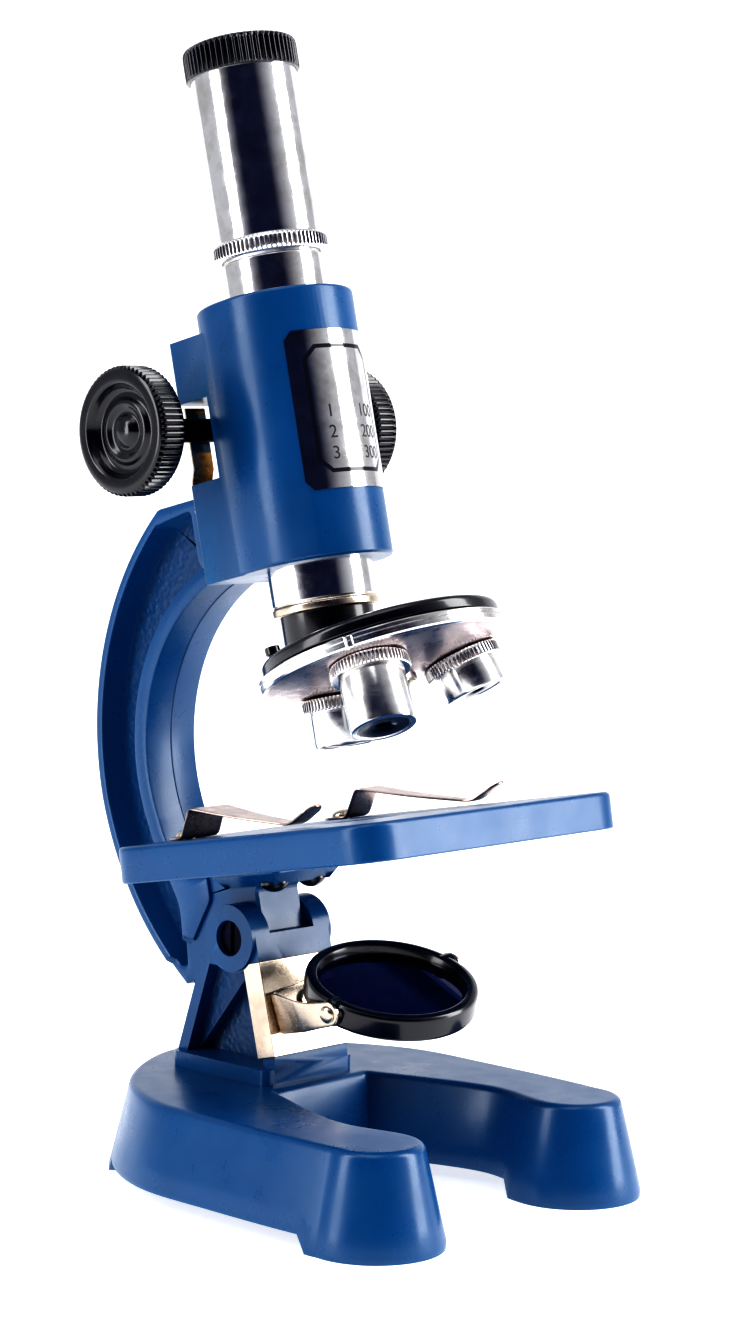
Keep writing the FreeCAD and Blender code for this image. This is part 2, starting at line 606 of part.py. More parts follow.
def make_sleeve():
    """Plastic sleeve for the body tube, with the pinion block and its open notch behind."""
    sleeve = stretched_round(SLEEVE_R, SLEEVE_BOTTOM_W, SLEEVE_TOP_W, SLEEVE_STRETCH)
    rims = [edge for edge in sleeve.Edges
            if min(abs(edge.BoundBox.ZMin - z) + abs(edge.BoundBox.ZMax - z)
                   for z in (SLEEVE_BOTTOM_W, SLEEVE_TOP_W)) < 0.01]
    sleeve = sleeve.makeFillet(0.7, rims)
    block = box(-BLOCK_X, BLOCK_X, TUBE_V, BLOCK_BACK_V, SLEEVE_BOTTOM_W, BLOCK_TOP_W)
    upright = [edge for edge in block.Edges if abs(edge.BoundBox.ZMax - edge.BoundBox.ZMin) > 1
               and edge.BoundBox.YMin > BLOCK_BACK_V - 1]
    sleeve = sleeve.fuse(block.makeFillet(0.8, upright))
    notch = box(-20, 20, NOTCH_FRONT_V, BLOCK_BACK_V + 5, NOTCH_LOW_W, NOTCH_HIGH_W)
    sleeve = sleeve.cut(notch)
    saddle = box(SADDLE_IN_X, SADDLE_OUT_X, NOTCH_FRONT_V - 1, PINION_V, PINION_W - 4, PINION_W + 4)
    sleeve = sleeve.fuse([saddle, mirror_x(saddle)])
    sleeve = sleeve.fuse(box(-TENON_X, TENON_X, BLOCK_BACK_V - 1, BLOCK_BACK_V + TENON_LEN,
                             TENON_LOW_W, TENON_HIGH_W))
    sleeve = sleeve.cut(cyl(TUBE_R + RUN, SLEEVE_BOTTOM_W - 1, SLEEVE_TOP_W + 1, 0, TUBE_V))
    rack_back = TUBE_V + rack_pitch() + MODULE + GAP
    keyway = box(-RACK_X - GAP, RACK_X + GAP, TUBE_V, rack_back, SLEEVE_BOTTOM_W - 1, SLEEVE_TOP_W + 1)
    well = cyl_x(PINION_TEETH * MODULE / 2 + MODULE + GAP, -SADDLE_IN_X, SADDLE_IN_X, PINION_V, PINION_W)
    sleeve = sleeve.cut([keyway, well])
    sleeve = sleeve.cut(cyl_x(SHAFT_R + RUN, -20, 20, PINION_V, PINION_W))
    for side in (-1, 1):
        hole = Part.makeCylinder(SPRING_SCREW_R, 7, Vector(side * SPRING_SCREW_X, BLOCK_BACK_V - 6,
                                                          SPRING_SCREW_W), Vector(0, 1, 0))
        sleeve = sleeve.cut(hole)
    return sleeve.removeSplitter()


def make_label():
    """Thin bent plate with clipped corners on the front of the sleeve."""
    inner = SLEEVE_R
    plate = ring(inner + LABEL_T, inner, LABEL_LOW_W, LABEL_HIGH_W, 0, TUBE_V)
    reach = 3 * SLEEVE_R
    first = math.radians(LABEL_ANGLE - LABEL_HALF_ANGLE)
    last = math.radians(LABEL_ANGLE + LABEL_HALF_ANGLE)
    wedge = slab_z([(0, TUBE_V)] + [(reach * math.cos(a), TUBE_V + reach * math.sin(a))
                                    for a in (first, (first + last) / 2, last)], 0, 200)
    plate = plate.common(wedge)
    for angle in (first, last):
        for z in (LABEL_LOW_W, LABEL_HIGH_W):
            reach = inner + LABEL_T / 2
            centre = Vector(reach * math.cos(angle), TUBE_V + reach * math.sin(angle), z)
            tooth = Part.makeBox(2 * LABEL_CORNER, 2 * LABEL_CORNER, 2 * LABEL_CORNER,
                                 Vector(-LABEL_CORNER, -LABEL_CORNER, -LABEL_CORNER))
            tooth.rotate(Vector(0, 0, 0), Vector(1, 0, 0), 45)
            tooth.rotate(Vector(0, 0, 0), Vector(0, 0, 1), math.degrees(angle))
            tooth.translate(centre)
            plate = plate.cut(tooth)
    return plate


# ---------------------------------------------------------------- tube, rack, pinion and knobs
def rack_pitch():
    """Distance from the tube's axis to the rack's pitch line."""
    return PINION_V - TUBE_V - PINION_TEETH * MODULE / 2


def make_body_tube():
    """Plated body tube."""
    return ring(TUBE_R, TUBE_R - TUBE_WALL, TUBE_BOTTOM_W, TUBE_TOP_W, 0, TUBE_V)


def make_rack():
    """Straight rack on the back of the tube, with its teeth centred on the pinion's gaps."""
    pitch = rack_pitch()
    root = TUBE_V + pitch - 1.2 * MODULE
    tip = TUBE_V + pitch + 0.9 * MODULE
    body = box(-RACK_X, RACK_X, TUBE_V, root, RACK_LOW_W, RACK_HIGH_W)
    step = math.pi * MODULE
    rows = int((RACK_HIGH_W - RACK_LOW_W) / 2 / step)
    teeth = []
    for row in range(-rows, rows + 1):
        w = PINION_W + row * step
        if RACK_LOW_W + step / 2 < w < RACK_HIGH_W - step / 2:
            teeth.append(slab_x([(root - 0.05, w - 0.36 * step), (tip, w - 0.11 * step),
                                 (tip, w + 0.11 * step), (root - 0.05, w + 0.36 * step)], -RACK_X, RACK_X))
    body = body.fuse(teeth)
    return body.cut(cyl(TUBE_R, RACK_LOW_W - 1, RACK_HIGH_W + 1, 0, TUBE_V)).removeSplitter()


def make_pinion():
    """Small brass gear; a gap between two teeth faces the rack."""
    pitch = PINION_TEETH * MODULE / 2
    root, tip = pitch - 1.2 * MODULE, pitch + 0.9 * MODULE
    corners = []
    for tooth in range(PINION_TEETH):
        middle = math.pi + (tooth + 0.5) * 2 * math.pi / PINION_TEETH
        share = math.pi / PINION_TEETH
        for radius, turn in ((root, -0.74), (tip, -0.20), (tip, 0.20), (root, 0.74)):
            angle = middle + turn * share
            corners.append((PINION_V + radius * math.cos(angle), PINION_W + radius * math.sin(angle)))
    return slab_x(corners, -PINION_X, PINION_X).cut(cyl_x(SHAFT_R - 0.4, -9, 9, PINION_V, PINION_W))


def make_shaft():
    """Pinion shaft, thinner under the gear so that the gear is trapped."""
    reach = KNOB_OUT_X - KNOB_DISH - 0.2
    thin = cyl_x(SHAFT_R - 0.4, -PINION_X - 0.1, PINION_X + 0.1, PINION_V, PINION_W)
    left = cyl_x(SHAFT_R, -reach, -PINION_X, PINION_V, PINION_W)
    right = cyl_x(SHAFT_R, PINION_X, reach, PINION_V, PINION_W)
    return fuse(thin, left, right)


def make_knob(side):
    """Dished focus knob with a small hub, pressed on the shaft."""
    lip = 0.8
    profile = [(0, 0), (KNOB_R - lip, 0), (KNOB_R, lip), (KNOB_R, KNOB_T - lip), (KNOB_R - lip, KNOB_T),
               (KNOB_DISH_R, KNOB_T), (KNOB_DISH_R - 1.2, KNOB_T - KNOB_DISH),
               (KNOB_HUB_R + 1.0, KNOB_T - KNOB_DISH + 0.3), (KNOB_HUB_R - 1.0, KNOB_T - 0.6),
               (0, KNOB_T - 0.4)]
    knob = turned(profile).cut(cyl(SHAFT_R, -1, KNOB_T - KNOB_DISH))
    knob.rotate(Vector(0, 0, 0), Vector(0, 1, 0), 90 * side)
    return moved(knob, side * (KNOB_OUT_X - KNOB_T), PINION_V, PINION_W)


def make_pinion_spring():
    """Forked leaf spring: a bar on the block's back and two prongs that press on the shaft."""
    back = PINION_V + SHAFT_R + RUN
    front_bar = BLOCK_BACK_V
    bar = box(-PRONG_OUT_X, PRONG_OUT_X, front_bar, front_bar + SPRING_T, 83.4 - 6.0, NOTCH_LOW_W - 0.3)
    side_view = strip([(front_bar, NOTCH_LOW_W - 0.4), (front_bar, NOTCH_LOW_W + 0.8),
                       (back, PRONG_LOW_W + 2.0), (back, PRONG_HIGH_W)], -SPRING_T)
    prong = slab_x(side_view, PRONG_IN_X, PRONG_OUT_X)
    spring = bar.fuse([prong, mirror_x(prong)])
    arm_room = box(-ARM_X - GAP, ARM_X + GAP, front_bar - 1, front_bar + 2, 60, ARM_TOP_W + GAP)
    spring = spring.cut(arm_room)
    for side in (-1, 1):
        hole = Part.makeCylinder(SPRING_SCREW_R, 9, Vector(side * SPRING_SCREW_X, BLOCK_BACK_V - 6,
                                                          SPRING_SCREW_W), Vector(0, 1, 0))
        spring = spring.cut(hole)
    return spring.removeSplitter()


def make_spring_screws():
    """Two small screws for the spring."""
    screws = []
    for side in (-1, 1):
        x, y, z = side * SPRING_SCREW_X, BLOCK_BACK_V + SPRING_T, SPRING_SCREW_W
        length = 5.5 + SPRING_T
        shank = Part.makeCylinder(SPRING_SCREW_R, length, Vector(x, y - length, z), Vector(0, 1, 0))
        head = Part.makeCylinder(1.9, 1.0, Vector(x, y, z), Vector(0, 1, 0))
        slot = box(x - 2, x + 2, y + 0.5, y + 2, z - 0.25, z + 0.25)
        screws.append(fuse(shank, head).cut(slot))
    return Part.makeCompound(screws)


# ---------------------------------------------------------------- eyepiece
def make_eyepiece_tube():
    """Plated outer barrel between the collar and the cap."""
    return ring(EYE_TUBE_R, EYE_TUBE_R - EYE_WALL, COLLAR_W[1], CAP_HIGH_W - 2.2, 0, TUBE_V)


def make_draw_tube():
    """Thin tube that slides inside the body tube."""
    return ring(DRAW_R, DRAW_R - DRAW_WALL, DRAW_BOTTOM_W, COLLAR_W[1] + 6.0, 0, TUBE_V)


def make_eyepiece_collar():
    """Knurled ring that joins the barrel to the draw tube."""
    collar = turned([(DRAW_R, COLLAR_W[0]), (COLLAR_R - 0.6, COLLAR_W[0]), (COLLAR_R, COLLAR_W[0] + 0.5),
                     (COLLAR_R, COLLAR_W[1] - 0.5), (COLLAR_R - 0.5, COLLAR_W[1]),
                     (EYE_TUBE_R - EYE_WALL, COLLAR_W[1]), (EYE_TUBE_R - EYE_WALL, COLLAR_W[1] + 4.0),
                     (DRAW_R, COLLAR_W[1] + 4.0)])
    return moved(collar, y=TUBE_V)


def make_eyepiece_cap():
    """Black cap with a shallow dish round the eye hole."""
    low, high = CAP_LOW_W, CAP_HIGH_W
    cap = turned([(EYE_TUBE_R, low), (CAP_R - 0.3, low), (CAP_R, low + 0.4), (CAP_R, high - 1.0),
                  (CAP_R - 1.0, high), (EYE_HOLE_R + 3.2, high), (EYE_HOLE_R, high - 1.3),
                  (EYE_HOLE_R, high - 2.2), (EYE_TUBE_R, high - 2.2)])
    return moved(cap, y=TUBE_V)


def lens(radius, low, height, bulge):
    """Glass disc, domed on both faces."""
    ball = radius * radius / (2 * bulge) + bulge / 2
    disc = cyl(radius, low - bulge, low + height + bulge)
    upper = Part.makeSphere(ball, Vector(0, 0, low + height + bulge - ball))
    lower = Part.makeSphere(ball, Vector(0, 0, low - bulge + ball))
    return disc.common(upper).common(lower)


def make_eye_lens():
    """Eye lens under the cap."""
    return moved(lens(EYE_LENS_R, CAP_HIGH_W - 5.6, EYE_LENS_H, 0.4), y=TUBE_V)


def make_eye_lens_cell():
    """Ring between the eye lens and the barrel."""
    return ring(EYE_TUBE_R - EYE_WALL, EYE_LENS_R, CAP_HIGH_W - 6.2, CAP_HIGH_W - 2.2, 0, TUBE_V)


def make_field_lens():
    """Field lens at the foot of the draw tube."""
    return moved(lens(FIELD_LENS_R, DRAW_BOTTOM_W + 1.0, FIELD_LENS_H, 0.5), y=TUBE_V)


def make_field_lens_cell():
    """Ring between the field lens and the draw tube."""
    return ring(DRAW_R - DRAW_WALL, FIELD_LENS_R, DRAW_BOTTOM_W, DRAW_BOTTOM_W + 4.5, 0, TUBE_V)


# ---------------------------------------------------------------- turret and objectives
def make_turret_body():
    """Black fixed cup over the disc, with the neck that plugs into the body tube."""
    edge_low = DISC_RIM_HIGH + GAP
    cup = turned([(0, BODY_CEILING), (BODY_R - BODY_WALL, BODY_CEILING), (BODY_R - BODY_WALL, edge_low),
                  (BODY_R, edge_low), (BODY_R, BODY_EDGE_H - 0.6), (BODY_R - 1.2, BODY_EDGE_H),
                  (BODY_CROWN_R, BODY_CROWN_H), (0, BODY_CROWN_H)])
    hub_top = cone_depth(0) + 4.2
    boss = cyl(HUB_R - 1.0, hub_top + GAP, BODY_CEILING + 0.1)
    cup = turret_to_arm(cup.fuse(boss))
    neck = cyl(NECK_R, TURRET_W, TUBE_BOTTOM_W, 0, TUBE_V)
    under = turret_to_arm(cyl(60, -90, BODY_CEILING + 0.2))
    neck = neck.cut(under)
    plug = cyl(TUBE_R - TUBE_WALL, TUBE_BOTTOM_W, TUBE_BOTTOM_W + 6, 0, TUBE_V)
    body = cup.fuse([neck, plug])
    body = body.cut(cyl(NECK_BORE_R, 40, TUBE_BOTTOM_W + 7, 0, TUBE_V))
    body = body.cut([turret_to_arm(cyl(PIVOT_R, -20, BODY_CROWN_H - 0.8)), rivet_place(cyl(1.0, 3.9, 9.0))])
    return body.removeSplitter()


def rivet_place(shape):
    """From the turret's axis to the rivet's place near the back of its top."""
    return turret_to_arm(spun(moved(shape, y=BODY_R - 3.0), 44))


def make_end_ring():
    """Bright ring at the foot of the body tube."""
    low = TUBE_BOTTOM_W - END_RING_H
    return ring(END_RING_R, NECK_R, low, TUBE_BOTTOM_W, 0, TUBE_V)


def cone_depth(radius):
    """Height of the disc's lower cone at a radius, in the turret's own frame."""
    seat_y = COLLAR_SEAT * math.sin(math.radians(TURRET_LEAN))
    seat_z = APEX_H - COLLAR_SEAT * math.cos(math.radians(TURRET_LEAN))
    return seat_z - (seat_y - radius) * math.tan(math.radians(TURRET_LEAN))


def seat_frame(shape, index):
    """Put a piece drawn on Z, seat at height 0, on one of the three objective seats."""
    lean = math.radians(TURRET_LEAN)
    placed = moved(leaned(shape, TURRET_LEAN), y=COLLAR_SEAT * math.sin(lean),
                   z=APEX_H - COLLAR_SEAT * math.cos(lean))
    return turret_to_arm(spun(placed, 120 * index))


def make_turret_disc():
    """Plated dished disc with three seats, a hub and a click notch over each objective."""
    low = [(0, cone_depth(0)), (DISC_R - 0.3, cone_depth(DISC_R)), (DISC_R, DISC_RIM_LOW + 0.4)]
    profile = low + [(DISC_R, DISC_RIM_HIGH), (DISC_R - DISC_T, DISC_RIM_HIGH),
                     (DISC_R - DISC_T, cone_depth(DISC_R) + DISC_T + 0.1),
                     (HUB_R, cone_depth(HUB_R) + DISC_T), (HUB_R, cone_depth(0) + 4.2),
                     (0, cone_depth(0) + 4.2)]
    disc = turned(profile).cut(cyl(PIVOT_R + RUN, -20, 20))
    disc = turret_to_arm(disc)
    for index in range(3):
        disc = disc.cut(seat_frame(cyl(OBJ_BORE_R + 0.6, -0.6, 3), index))
        disc = disc.fuse(seat_frame(ring(OBJ_COLLAR_R, OBJ_BORE_R + 0.6, -0.05, 0.9), index))
        notch = box(-DETENT_NOTCH / 2, DETENT_NOTCH / 2, DISC_R - 0.8, DISC_R + 1,
                    DISC_RIM_LOW - 1, DISC_RIM_HIGH + 1)
        disc = disc.cut(turret_to_arm(spun(notch, 120 * index)))
    return disc.removeSplitter()


def make_turret_pivot():
    """Round-headed screw on which the disc turns."""
    top = BODY_CROWN_H - 1.0
    low = cone_depth(0) - RUN
    shank = cyl(PIVOT_R, low - 0.2, top)
    head = turned([(0, low), (PIVOT_HEAD_R, low), (PIVOT_HEAD_R, low - 0.5),
                   (PIVOT_HEAD_R - 1.2, low - PIVOT_HEAD_H), (0, low - PIVOT_HEAD_H)])
    slot = box(-PIVOT_HEAD_R, PIVOT_HEAD_R, -0.4, 0.4, low - PIVOT_HEAD_H - 1, low - PIVOT_HEAD_H + 0.6)
    return turret_to_arm(fuse(shank, head).cut(slot))


def make_detent_spring():
    """Leaf at the back of the turret whose toe stands over the disc's rim."""
    outline = strip([(BODY_R, BODY_EDGE_H - 1.2), (BODY_R, DISC_RIM_HIGH + 1.2),
                     (DISC_R + GAP, DISC_RIM_HIGH + 0.2), (DISC_R + GAP, DISC_RIM_LOW + 0.6)], 0.4)
    return turret_to_arm(slab_x(outline, -2.2, 2.2))


def make_detent_rivet():
    """Small pin on the side of the turret."""
    pin = cyl(1.0, 3.9, BODY_EDGE_H + 3.0)
    head = cyl(1.4, BODY_EDGE_H + 1.9, BODY_EDGE_H + 3.4)
    return rivet_place(fuse(pin, head))


def make_objective(name):
    """Objective barrel: knurled collar, bright barrel, spigot into the disc."""
    index, length = OBJECTIVES[name]
    low = -OBJ_COLLAR_H - length
    barrel = turned([(OBJ_BORE_R, low + 0.3), (OBJ_R - 0.4, low), (OBJ_R, low + 0.4), (OBJ_R, -OBJ_COLLAR_H),
                     (OBJ_COLLAR_R - 0.3, -OBJ_COLLAR_H), (OBJ_COLLAR_R, -OBJ_COLLAR_H + 0.3),
                     (OBJ_COLLAR_R, -0.35), (OBJ_COLLAR_R - 0.3, -0.05), (OBJ_BORE_R + 0.6, -0.05),
                     (OBJ_BORE_R + 0.6, OBJ_SPIGOT_H), (OBJ_BORE_R, OBJ_SPIGOT_H)])
    return seat_frame(barrel, index)


def make_objective_stop(name):
    """Black front disc with a small hole."""
    index, length = OBJECTIVES[name]
    low = -OBJ_COLLAR_H - length + 0.3
    stop = turned([(STOP_HOLE_R, low + 0.5), (STOP_HOLE_R + 0.7, low), (OBJ_BORE_R, low),
                   (OBJ_BORE_R, low + STOP_T), (STOP_HOLE_R, low + STOP_T)])
    return seat_frame(stop, index)


def make_objective_lens(name):
    """Small lens resting on the stop."""
    index, length = OBJECTIVES[name]
    low = -OBJ_COLLAR_H - length + 0.3 + STOP_T
    return seat_frame(cyl(OBJ_BORE_R, low, low + OBJ_LENS_H), index)


# ---------------------------------------------------------------- mirror
def slope_to_rest(shape):
    """From the front face's own frame (X across, Z up the slope, -Y outwards, sill at 0)."""
    sill, front, rear, back = pillar_slopes()
    lean = -math.degrees(math.atan2(front[0] - sill[0], front[1] - sill[1]))
    return moved(leaned(shape, lean), y=sill[0], z=sill[1])


def make_mirror_bracket():
    """Bright sheet over the pillar's front face, folded back round both sides."""
    inner_x = PILLAR_X
    plate = box(-inner_x - PLATE_T, inner_x + PLATE_T, -PLATE_T, 0, PLATE_LOW, PLATE_HIGH)
    for side in (-1, 1):
        ends = sorted((side * inner_x, side * (inner_x + PLATE_T)))
        plate = plate.fuse(box(ends[0], ends[1], -PLATE_T, PLATE_WING, PLATE_LOW, PLATE_HIGH))
    plate = plate.cut(Part.makeCylinder(FORK_RIVET_R, 9, Vector(0, -5, FORK_UP), Vector(0, 1, 0)))
    plate = slope_to_rest(plate)
    for side in (-1, 1):
        ends = sorted((side * PILLAR_X, side * (EAR_X + GAP)))
        plate = plate.cut(cyl_x(EAR_R + GAP, ends[0], ends[1], 0, AXLE_Z))
    return plate.removeSplitter()


def fork_to_slope(shape):
    """From the fork's own frame (rivet axis on Y at height 0) to the slope frame."""
    copy = shape.copy()
    copy.rotate(Vector(0, 0, 0), Vector(0, 1, 0), -FORK_TURN)
    return moved(copy, z=FORK_UP)


def make_mirror_fork():
    """Bent strip with flared arms; the mirror hangs between their ends."""
    start = -PLATE_T - RUN
    path = [(0, start - FORK_T), (FORK_BASE_X, start - FORK_T), (FORK_ARM_X, -FORK_REACH + 6.0),
            (FORK_ARM_X, -FORK_REACH - 2.4)]
    half = slab_z(strip(path, FORK_T), -FORK_BASE_H / 2, FORK_BASE_H / 2)
    side_view = [(1.0, -FORK_BASE_H / 2), (-3.0, -FORK_BASE_H / 2), (-FORK_REACH + 2.0, -FORK_END_H / 2),
                 (-FORK_REACH - 1.2, -FORK_END_H / 2), (-FORK_REACH - 2.4, -1.1), (-FORK_REACH - 2.4, 1.1),
                 (-FORK_REACH - 1.2, FORK_END_H / 2), (-FORK_REACH + 2.0, FORK_END_H / 2),
                 (-3.0, FORK_BASE_H / 2), (1.0, FORK_BASE_H / 2)]
    half = half.common(slab_x(side_view, -1, 30))
    fork = fuse(half, mirror_x(half))
    fork = fork.cut(Part.makeCylinder(FORK_RIVET_R + RUN, 9, Vector(0, -5, 0), Vector(0, 1, 0)))
    fork = fork.cut(cyl_x(PIVOT_PIN_R, -30, 30, -FORK_REACH, 0))
    return slope_to_rest(fork_to_slope(fork))


def make_fork_rivet():
    """Rivet that holds the fork on the bracket."""
    y_in, y_out = 1.6, -PLATE_T - FORK_T - 2 * RUN
    shank = Part.makeCylinder(FORK_RIVET_R, y_in - y_out + 0.1, Vector(0, y_out - 0.1, 0), Vector(0, 1, 0))
    head = Part.makeCylinder(2.4, 0.8, Vector(0, y_out - 0.8, 0), Vector(0, 1, 0))
    return slope_to_rest(moved(fuse(shank, head), z=FORK_UP))


def mirror_to_fork(shape):
    """From the mirror's own frame (pivot axis on X) to the fork's frame."""
    return moved(leaned(shape, MIRROR_TILT), y=-FORK_REACH)


def mirror_rest(shape):
    """From the mirror's own frame to the rest pose, with its tilt counted from level."""
    return slope_to_rest(fork_to_slope(mirror_to_fork(leaned(shape, slope_lean()))))


def slope_lean():
    """Degrees between the fork's flat and level."""
    sill, front, rear, back = pillar_slopes()
    return math.degrees(math.atan2(front[0] - sill[0], front[1] - sill[1]))


def make_mirror_frame():
    """Black ring with two pivot bosses."""
    low, high = -MIRROR_H / 2, MIRROR_H / 2
    frame = turned([(0, low), (MIRROR_R - 0.9, low), (MIRROR_R, low + 0.9), (MIRROR_R, high - 0.9),
                    (MIRROR_R - 0.9, high), (MIRROR_GLASS_R + 0.5, high), (MIRROR_GLASS_R, high - 0.5),
                    (MIRROR_GLASS_R, high - MIRROR_RIM_DEPTH - MIRROR_GLASS_T),
                    (0, high - MIRROR_RIM_DEPTH - MIRROR_GLASS_T)])
    reach = FORK_ARM_X - 0.15
    for side in (-1, 1):
        ends = sorted((side * (MIRROR_R - 1.0), side * reach))
        frame = frame.fuse(cyl_x(2.0, *ends))
        hole = sorted((side * (MIRROR_R - 1.6), side * (reach + 1)))
        frame = frame.cut(cyl_x(PIVOT_PIN_R + RUN, *hole))
    return mirror_rest(frame.removeSplitter())


def make_mirror_glass():
    """Round mirror glass set below the rim."""
    top = MIRROR_H / 2 - MIRROR_RIM_DEPTH
    return mirror_rest(cyl(MIRROR_GLASS_R - 0.03, top - MIRROR_GLASS_T, top))


def make_mirror_pins():
    """Two rivets through the fork's ends."""
    pins = []
    for side in (-1, 1):
        outside = FORK_ARM_X + FORK_T
        ends = sorted((side * (MIRROR_R - 1.4), side * (outside + 0.3)))
        head = sorted((side * outside, side * (outside + 0.8)))
        pin = fuse(cyl_x(PIVOT_PIN_R, *ends, -FORK_REACH), cyl_x(1.7, *head, -FORK_REACH))
        pins.append(slope_to_rest(fork_to_slope(pin)))
    return Part.makeCompound(pins)


# ---------------------------------------------------------------- the whole microscope
def build():
    """All pieces by name, with the axle above Y = 0."""
    nodes = {
        "base": make_base(),
        "pillar": make_pillar(),
        "pillar_screws": make_pillar_screws(),
        "axle_bolt": make_axle_bolt(),
        "axle_nut": make_axle_nut(),
        "mirror_bracket": make_mirror_bracket(),
        "fork_rivet": make_fork_rivet(),
        "mirror_fork": make_mirror_fork(),
        "mirror_pins": make_mirror_pins(),
        "mirror_frame": make_mirror_frame(),
        "mirror_glass": make_mirror_glass(),
    }
    upright = {
        "arm": make_arm(),
        "stage": make_stage(),
        "stage_screws": make_stage_screws(),
        "clip_left": make_clip("left"),
        "clip_right": make_clip("right"),
        "clip_rivets": make_clip_rivets(),
        "sleeve": make_sleeve(),
        "label_plate": make_label(),
        "body_tube": make_body_tube(),
        "tube_end_ring": make_end_ring(),
        "rack": make_rack(),
        "pinion": make_pinion(),
        "pinion_shaft": make_shaft(),
        "knob_left": make_knob(-1),
        "knob_right": make_knob(1),
        "pinion_spring": make_pinion_spring(),
        "spring_screws": make_spring_screws(),
        "eyepiece_tube": make_eyepiece_tube(),
        "draw_tube": make_draw_tube(),
        "eyepiece_collar": make_eyepiece_collar(),
        "eyepiece_cap": make_eyepiece_cap(),
        "eye_lens": make_eye_lens(),
        "eye_lens_cell": make_eye_lens_cell(),
        "field_lens": make_field_lens(),
        "field_lens_cell": make_field_lens_cell(),
        "turret_body": make_turret_body(),
        "turret_disc": make_turret_disc(),
        "turret_pivot": make_turret_pivot(),
        "detent_spring": make_detent_spring(),
        "detent_rivet": make_detent_rivet(),
    }
    for name in OBJECTIVES:
        upright["objective_" + name] = make_objective(name)
        upright["objective_stop_" + name] = make_objective_stop(name)
        upright["objective_lens_" + name] = make_objective_lens(name)
    for name, shape in upright.items():
        nodes[name] = arm_to_rest(shape)
    return nodes


def centre_y(nodes):
    """Middle of the whole object from front to back."""
    boxes = [shape.optimalBoundingBox(False) for shape in nodes.values()]
    return (min(b.YMin for b in boxes) + max(b.YMax for b in boxes)) / 2


os.makedirs("parts", exist_ok=True)
NODES = build()
ORIGIN_Y = centre_y(NODES)
for node_name, node_shape in NODES.items():
    placed_shape = moved(node_shape, y=-ORIGIN_Y)
    placed_shape.exportStep("parts/" + node_name + ".step")
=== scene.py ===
import json
import logging
import math
from dataclasses import dataclass, field
from enum import Enum

import bmesh
import bpy
import numpy as np
from mathutils import Matrix

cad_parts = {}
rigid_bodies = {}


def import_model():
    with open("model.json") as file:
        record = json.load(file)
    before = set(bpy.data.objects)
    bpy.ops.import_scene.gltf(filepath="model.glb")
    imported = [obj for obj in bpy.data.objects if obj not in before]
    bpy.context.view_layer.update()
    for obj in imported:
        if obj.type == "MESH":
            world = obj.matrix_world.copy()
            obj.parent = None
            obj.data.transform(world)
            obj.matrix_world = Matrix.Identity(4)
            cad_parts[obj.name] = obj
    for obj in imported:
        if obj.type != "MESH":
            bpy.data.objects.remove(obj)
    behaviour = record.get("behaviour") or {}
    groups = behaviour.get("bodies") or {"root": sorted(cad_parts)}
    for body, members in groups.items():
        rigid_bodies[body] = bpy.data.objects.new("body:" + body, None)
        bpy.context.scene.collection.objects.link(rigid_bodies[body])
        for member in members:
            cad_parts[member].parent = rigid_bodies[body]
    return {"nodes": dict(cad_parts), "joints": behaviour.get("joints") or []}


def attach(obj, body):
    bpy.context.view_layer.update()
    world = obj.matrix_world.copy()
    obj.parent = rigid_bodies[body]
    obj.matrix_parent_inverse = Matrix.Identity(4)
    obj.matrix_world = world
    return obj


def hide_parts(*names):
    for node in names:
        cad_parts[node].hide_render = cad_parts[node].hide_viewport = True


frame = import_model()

MM = 0.001
MERGE_M = 2e-6  # points nearer than this become one
SLIVER_M = 1e-7  # faces thinner than this are dropped
FLAT_DEGREES = 0.6  # triangles that bend less than this are one flat face
SIDE_SHARE = 0.47  # most of a side that one corner's curve may use
RIB_POWER = 1.6  # how narrow the grooves between ribs are
POINTS_PER_RIB = 8
CAD_SHARP = 38.0  # degrees above which an edge of a copied CAD mesh stays crisp
BEVEL_FROM = 40.0  # degrees above which such an edge is softened
SIDEWAYS = 0.9  # smallest X part of the normal of a panel's face
STRIP_POWER = 0.35  # how square a strip's section is
TUBE_Y = -28.5  # the tube's axis in the arm's axes
OPEN = (False, False)  # a profile that closes on itself needs no end caps
LOG = logging.getLogger("microscope")
Array = np.ndarray


# ------------------------------------------------------------------ places
def unit(vector: Array) -> Array:
    """Return the vector at length one."""
    return np.asarray(vector, float) / np.linalg.norm(vector)


@dataclass(frozen=True)
class Place:
    """A set of axes in the row frame, in millimetres.

    Attributes:
        origin: where the local zero is.
        x: local X direction.
        y: local Y direction.
        z: local Z direction.
    """

    origin: Array
    x: Array
    y: Array
    z: Array

    def put(self, points: Array) -> Array:
        """Carry local points into the row frame: origin + x*X + y*Y + z*Z.

        Args:
            points: local points, with the coordinates on the last axis.

        Returns:
            The same points in the row frame.
        """
        x, y, z = (points[..., k:k + 1] for k in range(3))
        return self.origin + x * self.x + y * self.y + z * self.z

    def moved(self, x: float = 0.0, y: float = 0.0, z: float = 0.0) -> "Place":
        """Return the same axes with the origin moved along them."""
        return Place(self.origin + x * self.x + y * self.y + z * self.z, self.x, self.y, self.z)

    def spun(self, degrees: float) -> "Place":
        """Return the axes turned about their own Z."""
        c, s = math.cos(math.radians(degrees)), math.sin(math.radians(degrees))
        return Place(self.origin, c * self.x + s * self.y, c * self.y - s * self.x, self.z)

    def leaned(self, degrees: float) -> "Place":
        """Return the axes turned about their own X."""
        c, s = math.cos(math.radians(degrees)), math.sin(math.radians(degrees))
        return Place(self.origin, self.x, c * self.y + s * self.z, c * self.z - s * self.y)

    def along_x(self) -> "Place":
        """Return axes whose Z is the old X, for round pieces on a cross shaft."""
        return Place(self.origin, self.y, self.z, self.x)


